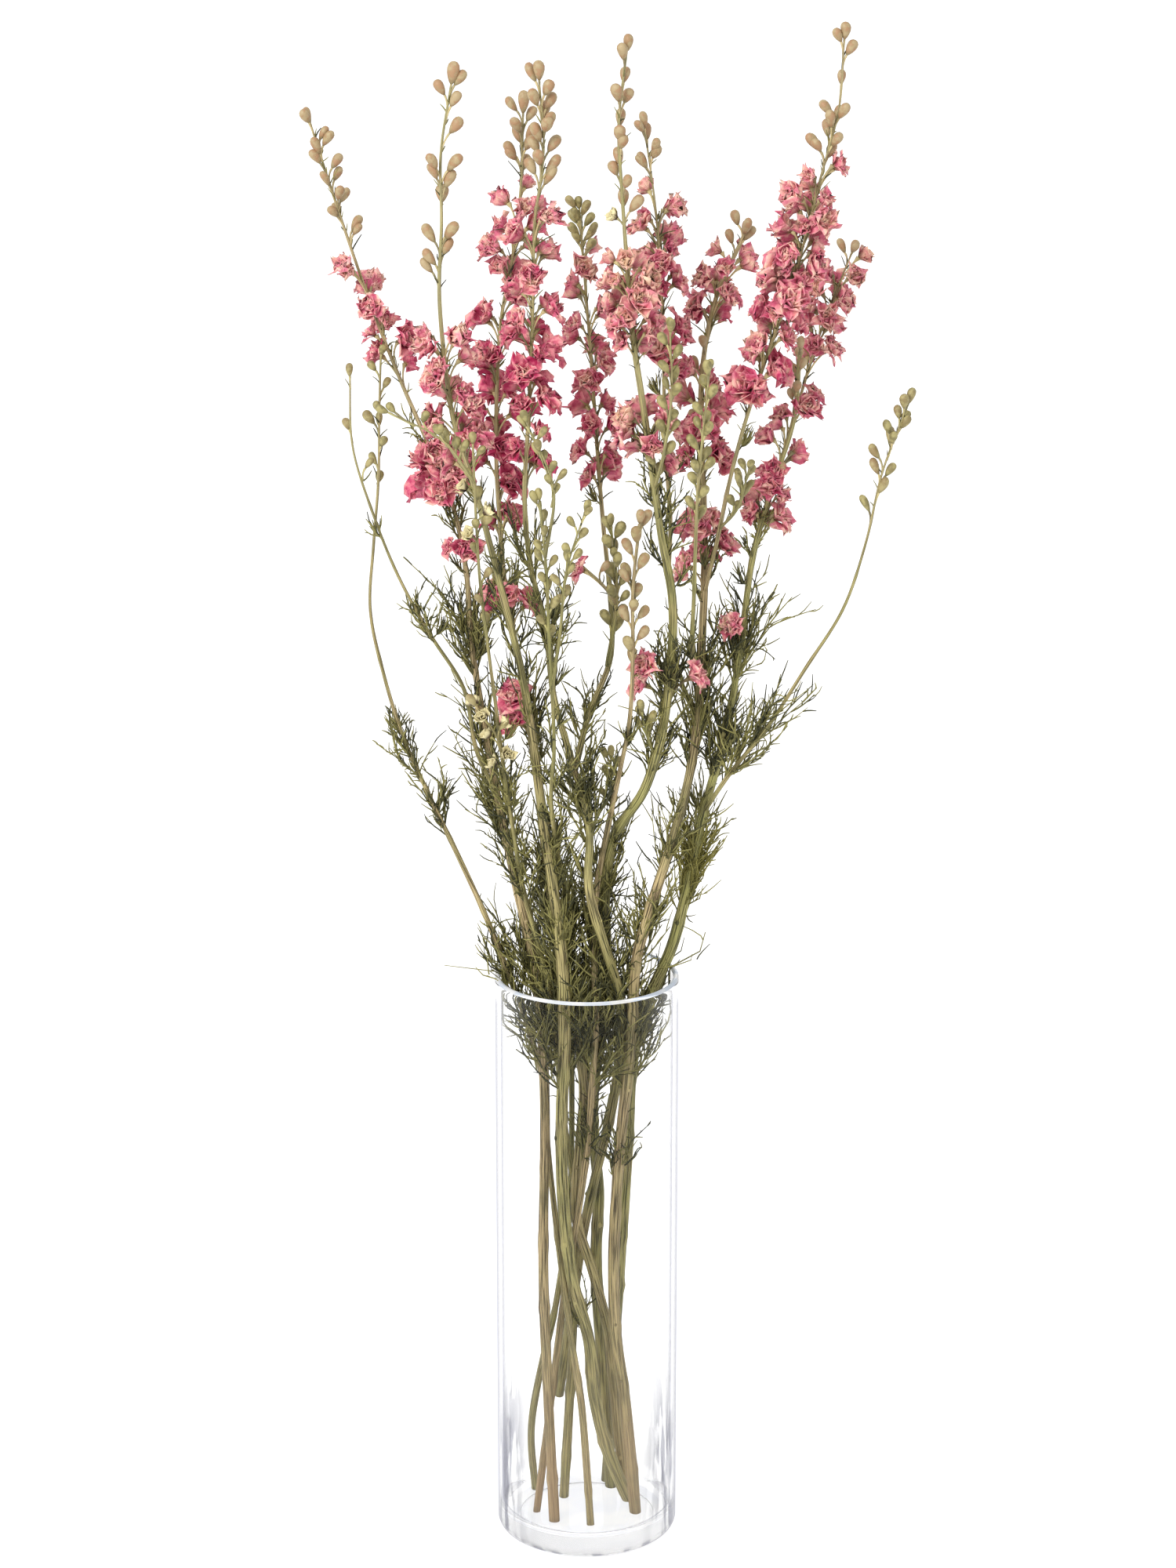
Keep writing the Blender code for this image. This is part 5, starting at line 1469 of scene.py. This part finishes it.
def more_blooms(lines, draw):
    """Smaller blooms close to the stalks, which close the gaps between those of the construction model."""
    blooms = []
    for strand, low, high, count, size, reach, first in MORE_BLOOM_ROWS:
        for k in range(count):
            share = (k + 0.5) / count
            height = low + (high - low) * share + draw.uniform(-2, 2)
            facing = outward(first + GOLDEN_ANGLE * k + draw.uniform(-20, 20), draw.uniform(0.2, 0.8))
            root = at_height(lines[strand], height - reach * 0.5)[0]
            base = root + facing * reach * draw.uniform(0.5, 0.8)
            radius = BLOOM_RADIUS * size * draw.uniform(0.85, 1.1)
            age = share if count > 4 else 0.2
            blooms.append((STRANDS[strand].node, strand, age, base, facing, radius))
    return blooms


def more_buds(lines, draw):
    """Further buds, which need no room of their own: they only fill in between those placed before."""
    buds = []
    for strand, low, high, count, size, stalk, first, turn in MORE_BUD_ROWS:
        for k in range(count):
            root = at_height(lines[strand], low + (high - low) * (k + 0.5) / count)[0]
            direction = outward(first + turn * k + draw.uniform(-25, 25), draw.uniform(1.1, 2.2))
            base = root + direction * stalk * draw.uniform(0.7, 1.4)
            length = BUD_LENGTH * size * draw.uniform(0.85, 1.1)
            buds.append((STRANDS[strand].node, strand, base, direction, length, BUD_RADIUS * size))
    return buds


def place_plumes(lines, draw):
    """Each plume's stem, and the start, direction, length and bend of its rachis, which sweeps upwards."""
    plumes = []
    for strand, low, high, count, length in PLUME_ROWS:
        for k in range(count):
            root, along = at_height(lines[strand], low + (high - low) * (k + 0.5) / count)
            azimuth = GOLDEN_ANGLE * k + draw.uniform(0, 70) + low
            from_front = (azimuth + 270) % 360 - 180
            if abs(from_front) < BARE_FRONT:
                azimuth += math.copysign(BARE_FRONT, from_front) * draw.uniform(0.7, 1.3)
            out = outward(azimuth, 0)
            lean = draw.uniform(0.15, 0.55) * (MOUTH_LEAN if MOUTH[0] < low < MOUTH[1] else 1.0)
            rachis = unit(along + out * lean)
            bend_by = out * draw.uniform(-0.3, 0.25) + np.array([0, 0, 0.15])
            plumes.append((STRANDS[strand].node, root, rachis, length * draw.uniform(0.75, 1.15), bend_by))
    return plumes


def by_stem(rows):
    """Rows that start with their stem's name, sorted out by it."""
    return {name: [row[1:] for row in rows if row[0] == name] for name in STEMS}


def build_floor():
    """A plain white floor."""
    bm = bmesh.new()
    bmesh.ops.create_grid(bm, x_segments=1, y_segments=1, size=FLOOR_SIZE)
    mesh = finished(bm, "floor")
    white = Finish("White studio floor", 0.9)
    white.shader.inputs["Base Color"].default_value = (0.4, 0.4, 0.4, 1.0)
    white.shader.inputs["Emission Color"].default_value = WHITE
    white.shader.inputs["Emission Strength"].default_value = FLOOR_GLOW
    white.shader.inputs["Specular IOR Level"].default_value = 0.0
    mesh.materials.append(white.material)
    floor = bpy.data.objects.new("floor", mesh)
    bpy.context.scene.collection.objects.link(floor)


def light_and_camera():
    """Even white light all round, a large soft lamp from the upper left, and the photograph's view."""
    scene = bpy.context.scene
    world = bpy.data.worlds.new("Studio")
    world.use_nodes = True
    background = world.node_tree.nodes["Background"]
    background.inputs["Color"].default_value = WHITE
    background.inputs["Strength"].default_value = SKY_STRENGTH
    scene.world = world
    lamp = bpy.data.lights.new("Soft lamp", "AREA")
    lamp.shape = "DISK"
    lamp.size = LAMP_SIZE
    lamp.energy = LAMP_WATTS
    holder = bpy.data.objects.new("Soft lamp", lamp)
    holder.location = LAMP_PLACE
    holder.rotation_mode = "QUATERNION"
    holder.rotation_quaternion = (Vector(LAMP_AIM) - holder.location).to_track_quat("-Z", "Y")
    scene.collection.objects.link(holder)
    camera = bpy.data.objects.new("Camera", bpy.data.cameras.new("Camera"))
    camera.data.lens = LENS
    camera.data.shift_x = VIEW_SHIFT
    camera.location = CAMERA_PLACE
    camera.rotation_euler = (math.radians(90 - LOOKING_DOWN), 0, 0)
    scene.collection.objects.link(camera)
    scene.camera = camera
    scene.view_settings.view_transform = "Standard"
    scene.cycles.max_bounces = GLASS_BOUNCES
    scene.cycles.glossy_bounces = GLOSSY_BOUNCES
    scene.cycles.transmission_bounces = GLASS_BOUNCES


def main():
    draw = random.Random(SEED)
    lines = lay_strands()
    crowd = Crowd()
    for name, line in lines.items():
        radii = radius_along(STRANDS[name], len(line))
        crowd.add(STRANDS[name].node, list(zip(line, line[1:], radii)))
    blooms = place_blooms(lines, crowd, draw)
    buds = place_buds(lines, crowd, draw)
    leaves = by_stem(place_leaves(lines, crowd, draw))
    blooms = by_stem(blooms + more_blooms(lines, draw))
    buds = by_stem(buds + more_buds(lines, draw))
    plumes = by_stem(place_plumes(lines, draw))
    rng = np.random.default_rng(SEED)
    finishes = {"petal": petal_finish(), "bud": bud_finish(), "stalk": stalk_finish(), "leaf": leaf_finish()}
    build_vase()
    for name in STEMS:
        build_stem(name, lines, blooms, buds, leaves, plumes, finishes, rng)
    build_floor()
    light_and_camera()


main()
